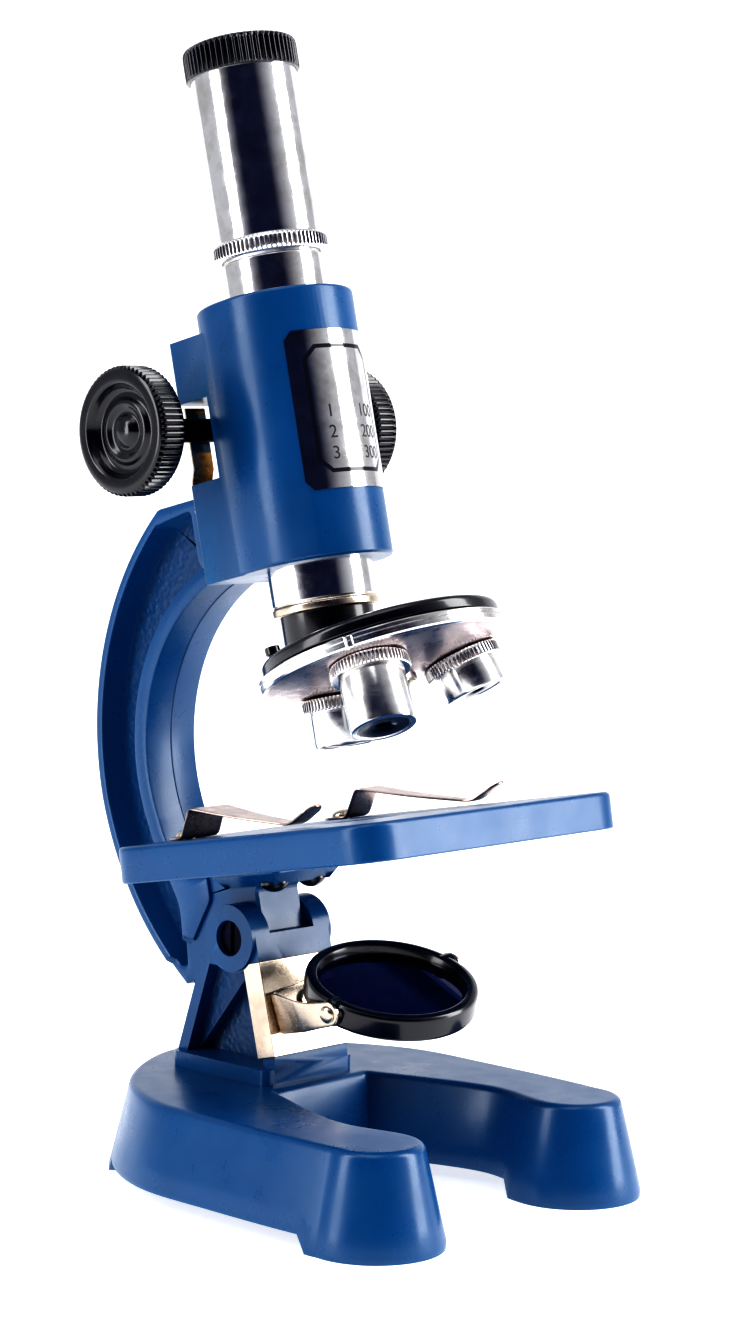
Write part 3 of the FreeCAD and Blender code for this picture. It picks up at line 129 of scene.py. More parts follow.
def joint(name: str) -> tuple[Array, Array]:
    """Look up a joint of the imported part.

    Args:
        name: the joint's name.

    Returns:
        Its place in millimetres (zero for a slide) and its axis.
    """
    found = next(j for j in frame["joints"] if j["name"] == name)
    return np.array(found.get("pos_m", (0, 0, 0)), float) / MM, unit(np.array(found["axis"], float))


# ------------------------------------------------------------------ curves and surfaces
def rounded(corners: Array, radius: float | Array, closed: bool, steps: int = 6) -> Array:
    """Round the corners of a line: each corner becomes a quadratic curve between two points on its sides.

    Args:
        corners: corner points, one per row.
        radius: how far along the sides each curve starts, one value or one per corner.
        closed: whether the line closes on itself.
        steps: points per corner.

    Returns:
        The points of the softened line.
    """
    p = np.asarray(corners, float)
    before, after = np.roll(p, 1, 0) - p, np.roll(p, -1, 0) - p
    reach_b, reach_a = (np.maximum(np.linalg.norm(way, axis=1), 1e-9) for way in (before, after))
    cut = np.minimum(np.broadcast_to(radius, len(p)), SIDE_SHARE * np.minimum(reach_b, reach_a))
    if not closed:
        cut = cut * np.r_[0, np.ones(len(p) - 2), 0]
    start = p + before * (cut / reach_b)[:, None]
    end = p + after * (cut / reach_a)[:, None]
    t = np.linspace(0, 1, steps)[None, :, None]
    curves = (1 - t) ** 2 * start[:, None] + 2 * t * (1 - t) * p[:, None] + t**2 * end[:, None]
    line = curves.reshape(-1, p.shape[1])
    keep = np.r_[True, np.linalg.norm(np.diff(line, axis=0), axis=1) > 1e-6]
    return line[keep]


def resampled(line: Array, count: int, closed: bool) -> Array:
    """Space points evenly along a line by its running length.

    Args:
        line: the line's points.
        count: how many points to return.
        closed: whether the line closes on itself.

    Returns:
        The evenly spaced points.
    """
    whole = np.vstack([line, line[:1]]) if closed else line
    run = np.r_[0, np.cumsum(np.linalg.norm(np.diff(whole, axis=0), axis=1))]
    at = np.linspace(0, run[-1], count, endpoint=not closed)
    return np.stack([np.interp(at, run, whole[:, k]) for k in range(line.shape[1])], axis=1)


def soft_line(corners: list[Array], radius: float | Array, count: int, steps: int = 6) -> Array:
    """Open line with rounded corners and evenly spaced points."""
    return resampled(rounded(np.array(corners), radius, False, steps), count, False)


def arc(start: Array, middle: Array, end: Array, count: int) -> Array:
    """Circular arc through three flat points: centre from the two chords' bisectors, then even angles."""
    (ax, ay), (bx, by), (cx, cy) = start, middle, end
    d = 2 * (ax * (by - cy) + bx * (cy - ay) + cx * (ay - by))
    ux = ((ax**2 + ay**2) * (by - cy) + (bx**2 + by**2) * (cy - ay) + (cx**2 + cy**2) * (ay - by)) / d
    uy = ((ax**2 + ay**2) * (cx - bx) + (bx**2 + by**2) * (ax - cx) + (cx**2 + cy**2) * (bx - ax)) / d
    first, mid, last = (math.atan2(y - uy, x - ux) for x, y in (start, middle, end))
    sweep_mid, sweep = (mid - first) % math.tau, (last - first) % math.tau
    sweep = sweep if sweep_mid < sweep else sweep - math.tau
    angle = first + sweep * np.linspace(0, 1, count)
    radius = math.hypot(ax - ux, ay - uy)
    return np.stack([ux + radius * np.cos(angle), uy + radius * np.sin(angle)], axis=1)


def inward(outline: Array) -> Array:
    """Unit normals that point into a closed flat outline, from central differences of its points."""
    along = np.roll(outline, -1, 0) - np.roll(outline, 1, 0)
    along /= np.maximum(np.linalg.norm(along, axis=1, keepdims=True), 1e-9)
    nxt = np.roll(outline, -1, 0)
    area = np.sum(outline[:, 0] * nxt[:, 1] - nxt[:, 0] * outline[:, 1])
    return np.stack([-along[:, 1], along[:, 0]], axis=1) * (1 if area > 0 else -1)


@dataclass
class Surface:
    """A grid of points closed round its first axis.

    Attributes:
        points: (around, along, 3) points in the row frame, in millimetres.
        caps: whether the first and last rings are filled.
        finish: index of the finish in the piece's list.
    """

    points: Array
    caps: tuple[bool, bool] = (False, False)
    finish: int = 0

    def uv(self) -> tuple[Array, Array]:
        """Running lengths in millimetres round the widest ring and along the first line."""
        ring = self.points[:, self.points.shape[1] // 2]
        around = np.r_[0, np.cumsum(np.linalg.norm(np.roll(ring, -1, 0) - ring, axis=1))]
        line = self.points[0]
        along = np.r_[0, np.cumsum(np.linalg.norm(np.diff(line, axis=0), axis=1))]
        return around, along


def grid(rows: int, columns: int) -> tuple[Array, Array]:
    """Row and column numbers of every cell of a grid, row by row."""
    return tuple(g.ravel() for g in np.meshgrid(np.arange(rows), np.arange(columns), indexing="ij"))


def round_points(radius: Array, angle: Array, height: Array) -> Array:
    """Points at (r*cos t, r*sin t, z), with t down the rows and z along them."""
    t = angle[:, None]
    return np.stack([radius * np.cos(t), radius * np.sin(t), np.broadcast_to(height, radius.shape)], axis=2)


def turned(place: Place, profile: Array, around: int = 96, ribs: int = 0,
           caps: tuple[bool, bool] = (True, True)) -> Surface:
    """Turn a profile about the place's Z axis.

    Each point is ((r - a*s)*cos t, (r - a*s)*sin t, z), where s = (0.5 + 0.5*cos(ribs*t))**RIB_POWER cuts the
    ribs and a is the rib depth that the profile states at that height.

    Args:
        place: the axes to turn about.
        profile: rows of radius, height and, with ribs, rib depth.
        around: points round the axis.
        ribs: number of ribs.
        caps: whether the two ends are filled.

    Returns:
        The surface.
    """
    p = np.asarray(profile, float)
    t = np.arange(around) * math.tau / around
    cut = (0.5 + 0.5 * np.cos(ribs * t))[:, None] ** RIB_POWER * (p[None, :, 2] if p.shape[1] > 2 else 0.0)
    return Surface(place.put(round_points(p[None, :, 0] - cut, t, p[:, 1])), caps)


def prism(place: Place, outline: Array, steps: Array, across: bool = False) -> Surface:
    """Carry a closed outline through (inset, height) steps, with both ends filled.

    A point is outline + inward normal * inset, at the step's height.

    Args:
        place: the axes; heights run along Z, or along X when across is true.
        outline: closed flat outline.
        steps: rows of inset and height.
        across: outline lies in Y and Z, and heights run along X.

    Returns:
        The surface.
    """
    s = np.asarray(steps, float)
    flat = outline[:, None] + inward(outline)[:, None] * s[None, :, :1]
    height = np.broadcast_to(s[None, :, 1], flat.shape[:2])
    parts = (height, flat[..., 0], flat[..., 1]) if across else (flat[..., 0], flat[..., 1], height)
    return Surface(place.put(np.stack(parts, axis=2)), (True, True))


def ribbon(place: Place, path: Array, across: Array, width: Array, thickness: float, around: int = 20) -> Surface:
    """Carry a flat rounded section along a path, with both ends filled.

    The section is (w/2*sgn(cos t)*|cos t|**k, h/2*sgn(sin t)*|sin t|**k) with k = STRIP_POWER, laid on the across
    direction and on the path's normal, which is the path's tangent times across.

    Args:
        place: the axes of the path.
        path: points along the middle of the strip.
        across: direction of the strip's width.
        width: the strip's width at each point.
        thickness: the strip's thickness.
        around: points round the section.

    Returns:
        The surface.
    """
    side = np.broadcast_to(across, path.shape)
    along = np.gradient(path, axis=0)
    along /= np.linalg.norm(along, axis=1, keepdims=True)
    up = np.cross(along, side)
    up /= np.linalg.norm(up, axis=1, keepdims=True)
    t = np.arange(around) * math.tau / around + 1e-3
    c, s = (np.sign(way) * np.abs(way) ** STRIP_POWER for way in (np.cos(t), np.sin(t)))
    wide = c[:, None, None] * width[None, :, None] / 2 * side[None]
    local = path[None] + wide + s[:, None, None] * thickness / 2 * up[None]
    return Surface(place.put(local), (True, True))


def soft_bar(radius: float, low: float, high: float, edge: float) -> Array:
    """Profile of a round bar with softened ends: foot, side and head."""
    corners = [(0.0, low), (radius, low), (radius, high), (0.0, high)]
    line = rounded(np.array(corners), np.array([0, edge, edge, 0]), False, 5)
    return line[line[:, 0] > 1e-6]


def dome(radius: float, start: float, rise: float) -> Array:
    """Profile of a rivet's head: radius*sqrt(1 - t*t) at height start + rise*t, up to t = 0.97."""
    t = np.linspace(0, 0.97, 9)
    return np.column_stack([radius * np.sqrt(1 - t**2), start + rise * t])


def fill_ramp(node: bpy.types.Node, stops: list[tuple[float, tuple[float, float, float]]]) -> None:
    """Give a colour ramp its stops."""
    while len(node.color_ramp.elements) < len(stops):
        node.color_ramp.elements.new(0.5)
    for element, (position, colour) in zip(node.color_ramp.elements, stops):
        element.position, element.color = position, (*colour, 1.0)


def linked(name: str, data: bpy.types.ID) -> bpy.types.Object:
    """Put a mesh, curve, camera or lamp in the scene as an object."""
    thing = bpy.data.objects.new(name, data)
    bpy.context.scene.collection.objects.link(thing)
    return thing


def stand(name: str, data: bpy.types.ID, axes: list[Array], where: Array) -> bpy.types.Object:
    """Put a camera or lamp in the scene.

    Args:
        name: the object's name.
        data: the camera or lamp.
        axes: directions of its X, Y and Z.
        where: its place in metres.

    Returns:
        The new object.
    """
    matrix = np.eye(4)
    matrix[:3, :3] = np.column_stack(axes)
    matrix[:3, 3] = where
    thing = linked(name, data)
    thing.matrix_world = Matrix(matrix.tolist())
    return thing


# ------------------------------------------------------------------ finishes
class Slot(Enum):
    """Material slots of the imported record."""

    BLUE = "blue_plastic"
    BLACK = "black_plastic"
    CHROME = "chrome"
    STEEL = "steel"
    BLACK_METAL = "black_metal"
    BRASS = "brass"
    FOIL = "label_foil"
    GLASS = "glass"
    MIRROR = "mirror"


class Marks(Enum):
    """How the tiny marks of a metal surface run."""

    TURNED = (0.02, 9.0)
    DRAWN = (9.0, 0.02)
    POLISHED = (0.35, 0.35)


class Nodes:
    """A material's node tree with short calls for adding and linking nodes."""

    def __init__(self, name: str) -> None:
        """Make an empty material.

        Args:
            name: the material's name.
        """
        self.material = bpy.data.materials.new(name)
        self.material.use_nodes = True
        self.tree = self.material.node_tree
        self.tree.nodes.clear()
        self.output = self.add("ShaderNodeOutputMaterial")
        self.shader = self.add("ShaderNodeBsdfPrincipled")
        self.link(self.shader, "BSDF", self.output, "Surface")

    def add(self, kind: str, **sockets: object) -> bpy.types.Node:
        """Add a node and set its inputs by name (underscores stand for spaces)."""
        node = self.tree.nodes.new(kind)
        for key, value in sockets.items():
            node.inputs[key.replace("_", " ")].default_value = value
        return node

    def link(self, source: bpy.types.Node, out: str, target: bpy.types.Node, into: str) -> None:
        """Connect two sockets by name."""
        self.tree.links.new(source.outputs[out], target.inputs[into])

    def object_space(self) -> bpy.types.Node:
        """Texture coordinates; its Object output is in metres."""
        return self.add("ShaderNodeTexCoord")

    def noise(self, source: bpy.types.Node, out: str, scale: float, detail: float = 3.0,
              rough: float = 0.55) -> bpy.types.Node:
        """Add noise on the given coordinates."""
        node = self.add("ShaderNodeTexNoise", Scale=scale, Detail=detail, Roughness=rough)
        self.link(source, out, node, "Vector")
        return node

    def ramp(self, source: bpy.types.Node, out: str, stops: list[tuple[float, tuple[float, float, float]]]
             ) -> bpy.types.Node:
        """Add a colour ramp with the given stops."""
        node = self.tree.nodes.new("ShaderNodeValToRGB")
        fill_ramp(node, stops)
        self.link(source, out, node, "Fac")
        return node

    def span(self, source: bpy.types.Node, out: str, low: float, high: float, from_low: float = 0.3,
             from_high: float = 0.7) -> bpy.types.Node:
        """Map a value onto a range."""
        node = self.add("ShaderNodeMapRange")
        for name, value in (("From Min", from_low), ("From Max", from_high), ("To Min", low), ("To Max", high)):
            node.inputs[name].default_value = value
        self.link(source, out, node, "Value")
        return node

    def math(self, kind: str, *values: object) -> bpy.types.Node:
        """Add a math node; each value is a number or a (node, output) pair."""
        node = self.tree.nodes.new("ShaderNodeMath")
        node.operation = kind
        for index, value in enumerate(values):
            if isinstance(value, tuple):
                self.tree.links.new(value[0].outputs[value[1]], node.inputs[index])
            else:
                node.inputs[index].default_value = value
        return node

    def mix(self, factor: bpy.types.Node, out: str, first: tuple[float, float, float] | bpy.types.Node,
            second: tuple[float, float, float]) -> bpy.types.Node:
        """Blend two colours by a factor; the first may be a node's colour."""
        node = self.tree.nodes.new("ShaderNodeMix")
        node.data_type = "RGBA"
        self.tree.links.new(factor.outputs[out], node.inputs[0])
        if isinstance(first, tuple):
            node.inputs[6].default_value = (*first, 1.0)
        else:
            self.tree.links.new(first.outputs[0 if first.bl_idname != "ShaderNodeMix" else 2], node.inputs[6])
        node.inputs[7].default_value = (*second, 1.0)
        return node

    def bump(self, source: bpy.types.Node, out: str, depth_mm: float, strength: float = 1.0,
             under: bpy.types.Node | None = None) -> bpy.types.Node:
        """Raise the surface by a pattern, on top of another bump if given."""
        node = self.add("ShaderNodeBump", Strength=strength, Distance=depth_mm * MM)
        self.link(source, out, node, "Height")
        if under is not None:
            self.link(under, "Normal", node, "Normal")
        return node


@dataclass(frozen=True)
class Plastic:
    """Injection-moulded plastic: faint orange peel, cloudy sheen, and convex edges paler in a noisy pattern,
    partly rubbed wear and partly a painted edge highlight.

    Attributes:
        name: the material's name.
        slot: the record's slot it stands for.
        colour: main colour.
        pale: colour of convex edges, partly rubbed wear and partly a painted edge highlight.
        roughness: smallest and largest roughness.
        grain_mm: size of a moulded pebble grain, or 0 for a smooth face.
        grain_depth_mm: how deep that grain is.
        coat: strength of the polished skin.
    """

    name: str
    slot: Slot
    colour: tuple[float, float, float]
    pale: tuple[float, float, float]
    roughness: tuple[float, float] = (0.24, 0.36)
    grain_mm: float = 0.0
    grain_depth_mm: float = 0.0
    coat: float = 0.5

    def material(self) -> bpy.types.Material:
        """Build the material.

        Returns:
            The finished node material.
        """
        n = Nodes(self.name)
        space = n.object_space()
        cloud = n.noise(space, "Object", 55.0, 4.0)
        shade = n.ramp(cloud, "Fac", [(0.3, tuple(0.86 * c for c in self.colour)), (0.7, self.colour)])
        # Painted highlight: convex edges found by pointiness blend towards the paler colour where the noise
        # allows, partly rubbed wear and partly a painted edge highlight.
        geometry = n.add("ShaderNodeNewGeometry")
        edge = n.span(geometry, "Pointiness", 0.0, 0.5, 0.55, 0.66)
        edge_noise = n.noise(space, "Object", 700.0, 4.0, 0.7)
        wear_and_highlight_mask = n.math("MULTIPLY", (edge, "Result"), (edge_noise, "Fac"))
        colour = n.mix(wear_and_highlight_mask, "Value", shade, self.pale)
        n.tree.links.new(colour.outputs[2], n.shader.inputs["Base Color"])
        smudge = n.noise(space, "Object", 130.0, 5.0, 0.6)
        gloss = n.span(smudge, "Fac", self.roughness[0], self.roughness[1])
        n.link(gloss, "Result", n.shader, "Roughness")
        peel = n.noise(space, "Object", 900.0, 2.0)
        relief = n.bump(peel, "Fac", 0.004)
        fine = n.noise(space, "Object", 4200.0, 2.0)
        relief = n.bump(fine, "Fac", 0.0015, under=relief)
        if self.grain_mm:
            cells = n.add("ShaderNodeTexVoronoi", Scale=1000.0 / self.grain_mm)
            cells.feature = "SMOOTH_F1"
            warp = n.noise(space, "Object", 900.0 / self.grain_mm, 2.0)
            shift = n.tree.nodes.new("ShaderNodeVectorMath")
            shift.operation = "MULTIPLY_ADD"
            n.link(warp, "Color", shift, "Vector")
            shift.inputs[1].default_value = (0.0006, 0.0006, 0.0006)
            n.tree.links.new(space.outputs["Object"], shift.inputs[2])
            n.tree.links.new(shift.outputs[0], cells.inputs["Vector"])
            relief = n.bump(cells, "Distance", self.grain_depth_mm, under=relief)
        n.link(relief, "Normal", n.shader, "Normal")
        n.shader.inputs["IOR"].default_value = 1.46
        n.shader.inputs["Coat Weight"].default_value = self.coat
        n.shader.inputs["Coat Roughness"].default_value = 0.5 * self.roughness[0]
        return n.material


@dataclass(frozen=True)
class Metal:
    """Bare or plated metal with fine marks that follow the piece's own surface map.

    Attributes:
        name: the material's name.
        slot: the record's slot it stands for.
        colour: colour of the metal.
        tarnish: colour of its dull patches.
        roughness: smallest and largest roughness.
        marks: how the fine marks run.
        marks_depth_mm: how deep they are.
    """

    name: str
    slot: Slot
    colour: tuple[float, float, float]
    tarnish: tuple[float, float, float]
    roughness: tuple[float, float] = (0.08, 0.16)
    marks: Marks = Marks.POLISHED
    marks_depth_mm: float = 0.0015

    def material(self) -> bpy.types.Material:
        """Build the material.

        Returns:
            The finished node material.
        """
        n = Nodes(self.name)
        space = n.object_space()
        patches = n.noise(space, "Object", 160.0, 5.0, 0.65)
        colour = n.ramp(patches, "Fac", [(0.34, self.tarnish), (0.56, self.colour)])
        n.link(colour, "Color", n.shader, "Base Color")
        n.shader.inputs["Metallic"].default_value = 1.0
        stretch = n.add("ShaderNodeMapping", Scale=(*self.marks.value, 1.0))
        n.link(space, "UV", stretch, "Vector")
        lines = n.noise(stretch, "Vector", 1.0, 4.0, 0.7)
        fog = n.noise(space, "Object", 420.0, 4.0, 0.6)
        both = n.math("MULTIPLY_ADD", (lines, "Fac"), 0.5, 0.0)
        total = n.math("MULTIPLY_ADD", (fog, "Fac"), 0.5, (both, "Value"))
        gloss = n.span(total, "Value", self.roughness[0], self.roughness[1], 0.38, 0.62)
        n.link(gloss, "Result", n.shader, "Roughness")
        relief = n.bump(lines, "Fac", self.marks_depth_mm)
        pits = n.noise(space, "Object", 2600.0, 2.0)
        relief = n.bump(pits, "Fac", 0.0008, under=relief)
        n.link(relief, "Normal", n.shader, "Normal")
        return n.material


@dataclass(frozen=True)
class Glass:
    """Clear ground glass with the faintest dust.

    Attributes:
        name: the material's name.
        slot: the record's slot it stands for.
        colour: tint.
    """

    name: str
    slot: Slot
    colour: tuple[float, float, float]

    def material(self) -> bpy.types.Material:
        """Build the material.

        Returns:
            The finished node material.
        """
        n = Nodes(self.name)
        space = n.object_space()
        dust = n.noise(space, "Object", 1500.0, 4.0, 0.7)
        n.shader.inputs["Base Color"].default_value = (*self.colour, 1.0)
        n.shader.inputs["Transmission Weight"].default_value = 1.0
        n.shader.inputs["IOR"].default_value = 1.52
        n.link(n.span(dust, "Fac", 0.01, 0.07, 0.5, 0.8), "Result", n.shader, "Roughness")
        return n.material


@dataclass(frozen=True)
class Foil:
    """Silver label foil with a printed stepped border, drawn on the label's surface map.

    Attributes:
        name: the material's name.
        slot: the record's slot it stands for.
        half_width: half the label's width in millimetres.
        half_height: half its height.
        inset: distance of the border line from the edge.
        chamfer: how far the border's corners are cut.
        line: width of the border line.
    """

    name: str
    slot: Slot
    half_width: float
    half_height: float
    inset: float = 3.2
    chamfer: float = 2.2
    line: float = 0.75

    def material(self) -> bpy.types.Material:
        """Build the material: the border is where max(|u|-a, |v|-b, (|u|+|v|-c)*0.7) is nearly zero.

        Returns:
            The finished node material.
        """
        n = Nodes(self.name)
        space = n.object_space()
        parts = n.add("ShaderNodeSeparateXYZ")
        n.link(space, "UV", parts, "Vector")
        u = n.math("ABSOLUTE", (parts, "X"))
        v = n.math("ABSOLUTE", (parts, "Y"))
        a, b = self.half_width - self.inset, self.half_height - self.inset
        side = n.math("SUBTRACT", (u, "Value"), a)
        top = n.math("SUBTRACT", (v, "Value"), b)
        corner = n.math("ADD", (u, "Value"), (v, "Value"))
        corner = n.math("SUBTRACT", (corner, "Value"), a + b - self.chamfer)
        corner = n.math("MULTIPLY", (corner, "Value"), 0.7)
        far = n.math("MAXIMUM", (side, "Value"), (top, "Value"))
        far = n.math("MAXIMUM", (far, "Value"), (corner, "Value"))
        near = n.math("ABSOLUTE", (far, "Value"))
        ink = n.math("LESS_THAN", (near, "Value"), self.line / 2)
        patches = n.noise(space, "Object", 240.0, 4.0)
        foil = n.ramp(patches, "Fac", [(0.35, (0.66, 0.64, 0.62)), (0.6, (0.86, 0.86, 0.87))])
        colour = n.mix(ink, "Value", foil, (0.012, 0.012, 0.02))
        n.tree.links.new(colour.outputs[2], n.shader.inputs["Base Color"])
        n.link(n.span(ink, "Value", 1.0, 0.0, 0.0, 1.0), "Result", n.shader, "Metallic")
        crinkle = n.noise(space, "Object", 90.0, 3.0)
        n.link(n.span(crinkle, "Fac", 0.07, 0.16), "Result", n.shader, "Roughness")
        relief = n.bump(crinkle, "Fac", 0.12, 0.5)
        n.link(relief, "Normal", n.shader, "Normal")
        return n.material


Finish = Plastic | Metal | Glass | Foil


# The second colour of each plastic is its paler edge colour, partly rubbed wear and partly a painted edge
# highlight.
BLUE = Plastic("blue_moulded_plastic", Slot.BLUE, (0.0, 0.075, 0.215), (0.01, 0.21, 0.42), coat=0.1)
# Painted shade: the pebbled finish is darker than the plain blue, standing for the shade inside the sunk panels;
# the pebble grain itself is real.
BLUE_GRAIN_SHADED = Plastic("blue_pebbled_plastic_painted_shade", Slot.BLUE, (0.0, 0.055, 0.165), (0.01, 0.16, 0.34),
                     (0.30, 0.46), 1.1, 0.16, 0.0)
BLACK = Plastic("black_moulded_plastic", Slot.BLACK, (0.0015, 0.002, 0.008), (0.02, 0.02, 0.05), (0.18, 0.30))
CHROME = Metal("bright_plating", Slot.CHROME, (0.86, 0.86, 0.87), (0.70, 0.68, 0.66))
CHROME_TURNED = Metal("turned_plating", Slot.CHROME, (0.84, 0.84, 0.85), (0.66, 0.63, 0.60), (0.13, 0.27),
                      Marks.TURNED, 0.004)
CHROME_DULL = Metal("dull_plating", Slot.CHROME, (0.60, 0.52, 0.51), (0.46, 0.37, 0.38), (0.22, 0.40),
                    Marks.TURNED, 0.003)
STEEL = Metal("spring_steel", Slot.STEEL, (0.46, 0.36, 0.32), (0.36, 0.28, 0.26), (0.22, 0.36),
              Marks.DRAWN, 0.003)
STEEL_BRIGHT = Metal("bright_sheet_steel", Slot.STEEL, (0.66, 0.57, 0.47), (0.52, 0.43, 0.35), (0.18, 0.30),
                     Marks.DRAWN, 0.002)
# Near-black metal; on the axle bolt and nut it is painted shade standing for the dark inside of the deep axle
# hole.
BLACK_METAL = Metal("blackened_steel_and_hole_shade", Slot.BLACK_METAL, (0.012, 0.013, 0.03), (0.008, 0.008, 0.016), (0.25, 0.4))
BRASS = Metal("gear_brass", Slot.BRASS, (0.80, 0.58, 0.26), (0.60, 0.40, 0.16), (0.2, 0.34))
GLASS = Glass("lens_glass", Slot.GLASS, (0.96, 0.98, 1.0))
# Painted reflection: the mirror is coloured dark navy to stand for the dark surroundings it reflects, not the
# silver of the glass.
MIRROR = Metal("mirror_painted_dark_reflection", Slot.MIRROR, (0.075, 0.075, 0.20), (0.06, 0.06, 0.16), (0.02, 0.06))
INK = Plastic("printed_ink", Slot.FOIL, (0.01, 0.01, 0.016), (0.02, 0.02, 0.03), (0.3, 0.45))


@dataclass
class Workshop:
    """Makes the meshes, keeps the built materials and reports every piece."""

    made: dict[str, bpy.types.Material] = field(default_factory=dict)

    def dress(self, finish: Finish) -> bpy.types.Material:
        """Return the finish's material, built once."""
        if finish.name not in self.made:
            self.made[finish.name] = finish.material()
        return self.made[finish.name]

    def build(self, name: str, surfaces: list[Surface], finishes: list[Finish], body: str,
              stands_for: tuple[str, ...] = (), sharp: float = 35.0) -> bpy.types.Object:
        """Join surfaces into one mesh piece that rides on a body.

        Each grid's faces are (i, j), (i+1, j), (i+1, j+1), (i, j+1), with i running round.

        Args:
            name: the piece's name.
            surfaces: the grids.
            finishes: the finishes that the surfaces' indices point at.
            body: the body that the piece rides on.
            stands_for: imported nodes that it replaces.
            sharp: angle in degrees above which an edge stays crisp.

        Returns:
            The new object.
        """
        points, faces, uvs, index, start = [], [], [], [], 0
        for surface in surfaces:
            nu, nv = surface.points.shape[:2]
            points.append(surface.points.reshape(-1, 3))
            i, j = grid(nu, nv - 1)
            k = (i + 1) % nu
            quads = start + np.stack([i * nv + j, k * nv + j, k * nv + j + 1, i * nv + j + 1], axis=1)
            around, along = surface.uv()
            corner_uv = np.stack([np.stack([around[i + right], along[j + up]], 1)
                                  for right, up in ((0, 0), (1, 0), (1, 1), (0, 1))], 1)
            faces += quads.tolist()
            uvs.append(corner_uv.reshape(-1, 2))
            index += [surface.finish] * len(quads)
            for wanted, column in zip(surface.caps, (0, nv - 1)):
                if wanted:
                    faces.append((start + np.arange(nu) * nv + column).tolist())
                    uvs.append(np.zeros((nu, 2)))
                    index.append(surface.finish)
            start += nu * nv
        mesh = bpy.data.meshes.new(name)
        mesh.from_pydata((np.vstack(points) * MM).tolist(), [], faces)
        mesh.polygons.foreach_set("material_index", np.array(index, np.int32))
        layer = mesh.uv_layers.new(name="surface_mm")
        layer.data.foreach_set("uv", np.vstack(uvs).ravel().astype(np.float32))
        return self.finish_piece(name, mesh, finishes, body, stands_for, sharp)

    def finish_piece(self, name: str, mesh: bpy.types.Mesh, finishes: list[Finish], body: str,
                     stands_for: tuple[str, ...], sharp: float, turn_out: bool = True) -> bpy.types.Object:
        """Close the seams, turn the faces out, shade, dress and hang a mesh on its body.

        Args:
            name: the piece's name.
            mesh: its mesh.
            finishes: its finishes in order.
            body: the body that it rides on.
            stands_for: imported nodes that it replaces.
            sharp: crisp edge angle in degrees.
            turn_out: whether the face directions are worked out again.

        Returns:
            The new object.
        """
        work = bmesh.new()
        work.from_mesh(mesh)
        bmesh.ops.remove_doubles(work, verts=work.verts, dist=MERGE_M)
        bmesh.ops.dissolve_degenerate(work, edges=work.edges, dist=SLIVER_M)
        if turn_out:
            bmesh.ops.recalc_face_normals(work, faces=work.faces)
        work.to_mesh(mesh)
        work.free()
        mesh.shade_smooth()
        mesh.set_sharp_from_angle(angle=math.radians(sharp))
        for finish in finishes:
            mesh.materials.append(self.dress(finish))
        piece = linked(name, mesh)
        if stands_for:
            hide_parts(*stands_for)
        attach(piece, body)
        LOG.info("%s: %d faces on %s", name, len(mesh.polygons), body)
        return piece

    def moulded(self, name: str, node: str, finishes: list[Finish], body: str, edge_mm: float,
                grain_test: "GrainTest | None" = None) -> bpy.types.Object:
        """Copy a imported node, join its loose triangles, soften its edges and dress it.

        Args:
            name: the new piece's name.
            node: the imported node.
            finishes: finishes; the second is used where grain_test says so.
            body: the body that it rides on.
            edge_mm: width of the softened edges.
            grain_test: which faces are pebbled.

        Returns:
            The new object.
        """
        mesh = frame["nodes"][node].data.copy()
        mesh.materials.clear()
        work = bmesh.new()
        work.from_mesh(mesh)
        bmesh.ops.remove_doubles(work, verts=work.verts, dist=MERGE_M)
        bmesh.ops.dissolve_limit(work, angle_limit=math.radians(FLAT_DEGREES), verts=work.verts,
                                 edges=work.edges)
        for face in work.faces:
            face.material_index = 1 if grain_test and grain_test.covers(face) else 0
        work.to_mesh(mesh)
        work.free()
        piece = self.finish_piece(name, mesh, finishes, body, (node,), CAD_SHARP, False)
        soften = piece.modifiers.new("soft_edges", "BEVEL")
        soften.width = edge_mm * MM
        soften.segments = 2
        soften.limit_method = "ANGLE"
        soften.angle_limit = math.radians(BEVEL_FROM)
        soften.harden_normals = True
        soften.miter_outer = "MITER_ARC"
        return piece

    def paint(self, node: str, finish: Finish) -> None:
        """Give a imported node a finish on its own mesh."""
        mesh = frame["nodes"][node].data
        mesh.materials.clear()
        mesh.materials.append(self.dress(finish))
        LOG.info("%s: dressed in %s", node, finish.name)


@dataclass(frozen=True)
class GrainTest:
    """Picks the faces that lie in a sunk side panel.

    Attributes:
        low: smallest distance of the panel from the middle plane, in millimetres.
        high: largest distance.
        place: axes of the test box.
        box_low: lowest Y and Z in those axes.
        box_high: highest Y and Z.
    """

    low: float
    high: float
    place: Place
    box_low: tuple[float, float]
    box_high: tuple[float, float]

    def covers(self, face: bmesh.types.BMFace) -> bool:
        """Tell whether a face looks sideways and lies inside the box."""
        centre = np.array(face.calc_center_median()) / MM - self.place.origin
        y, z = float(centre @ self.place.y), float(centre @ self.place.z)
        inside = self.box_low[0] < y < self.box_high[0] and self.box_low[1] < z < self.box_high[1]
        return abs(face.normal.x) > SIDEWAYS and self.low <= abs(centre[0]) <= self.high and inside


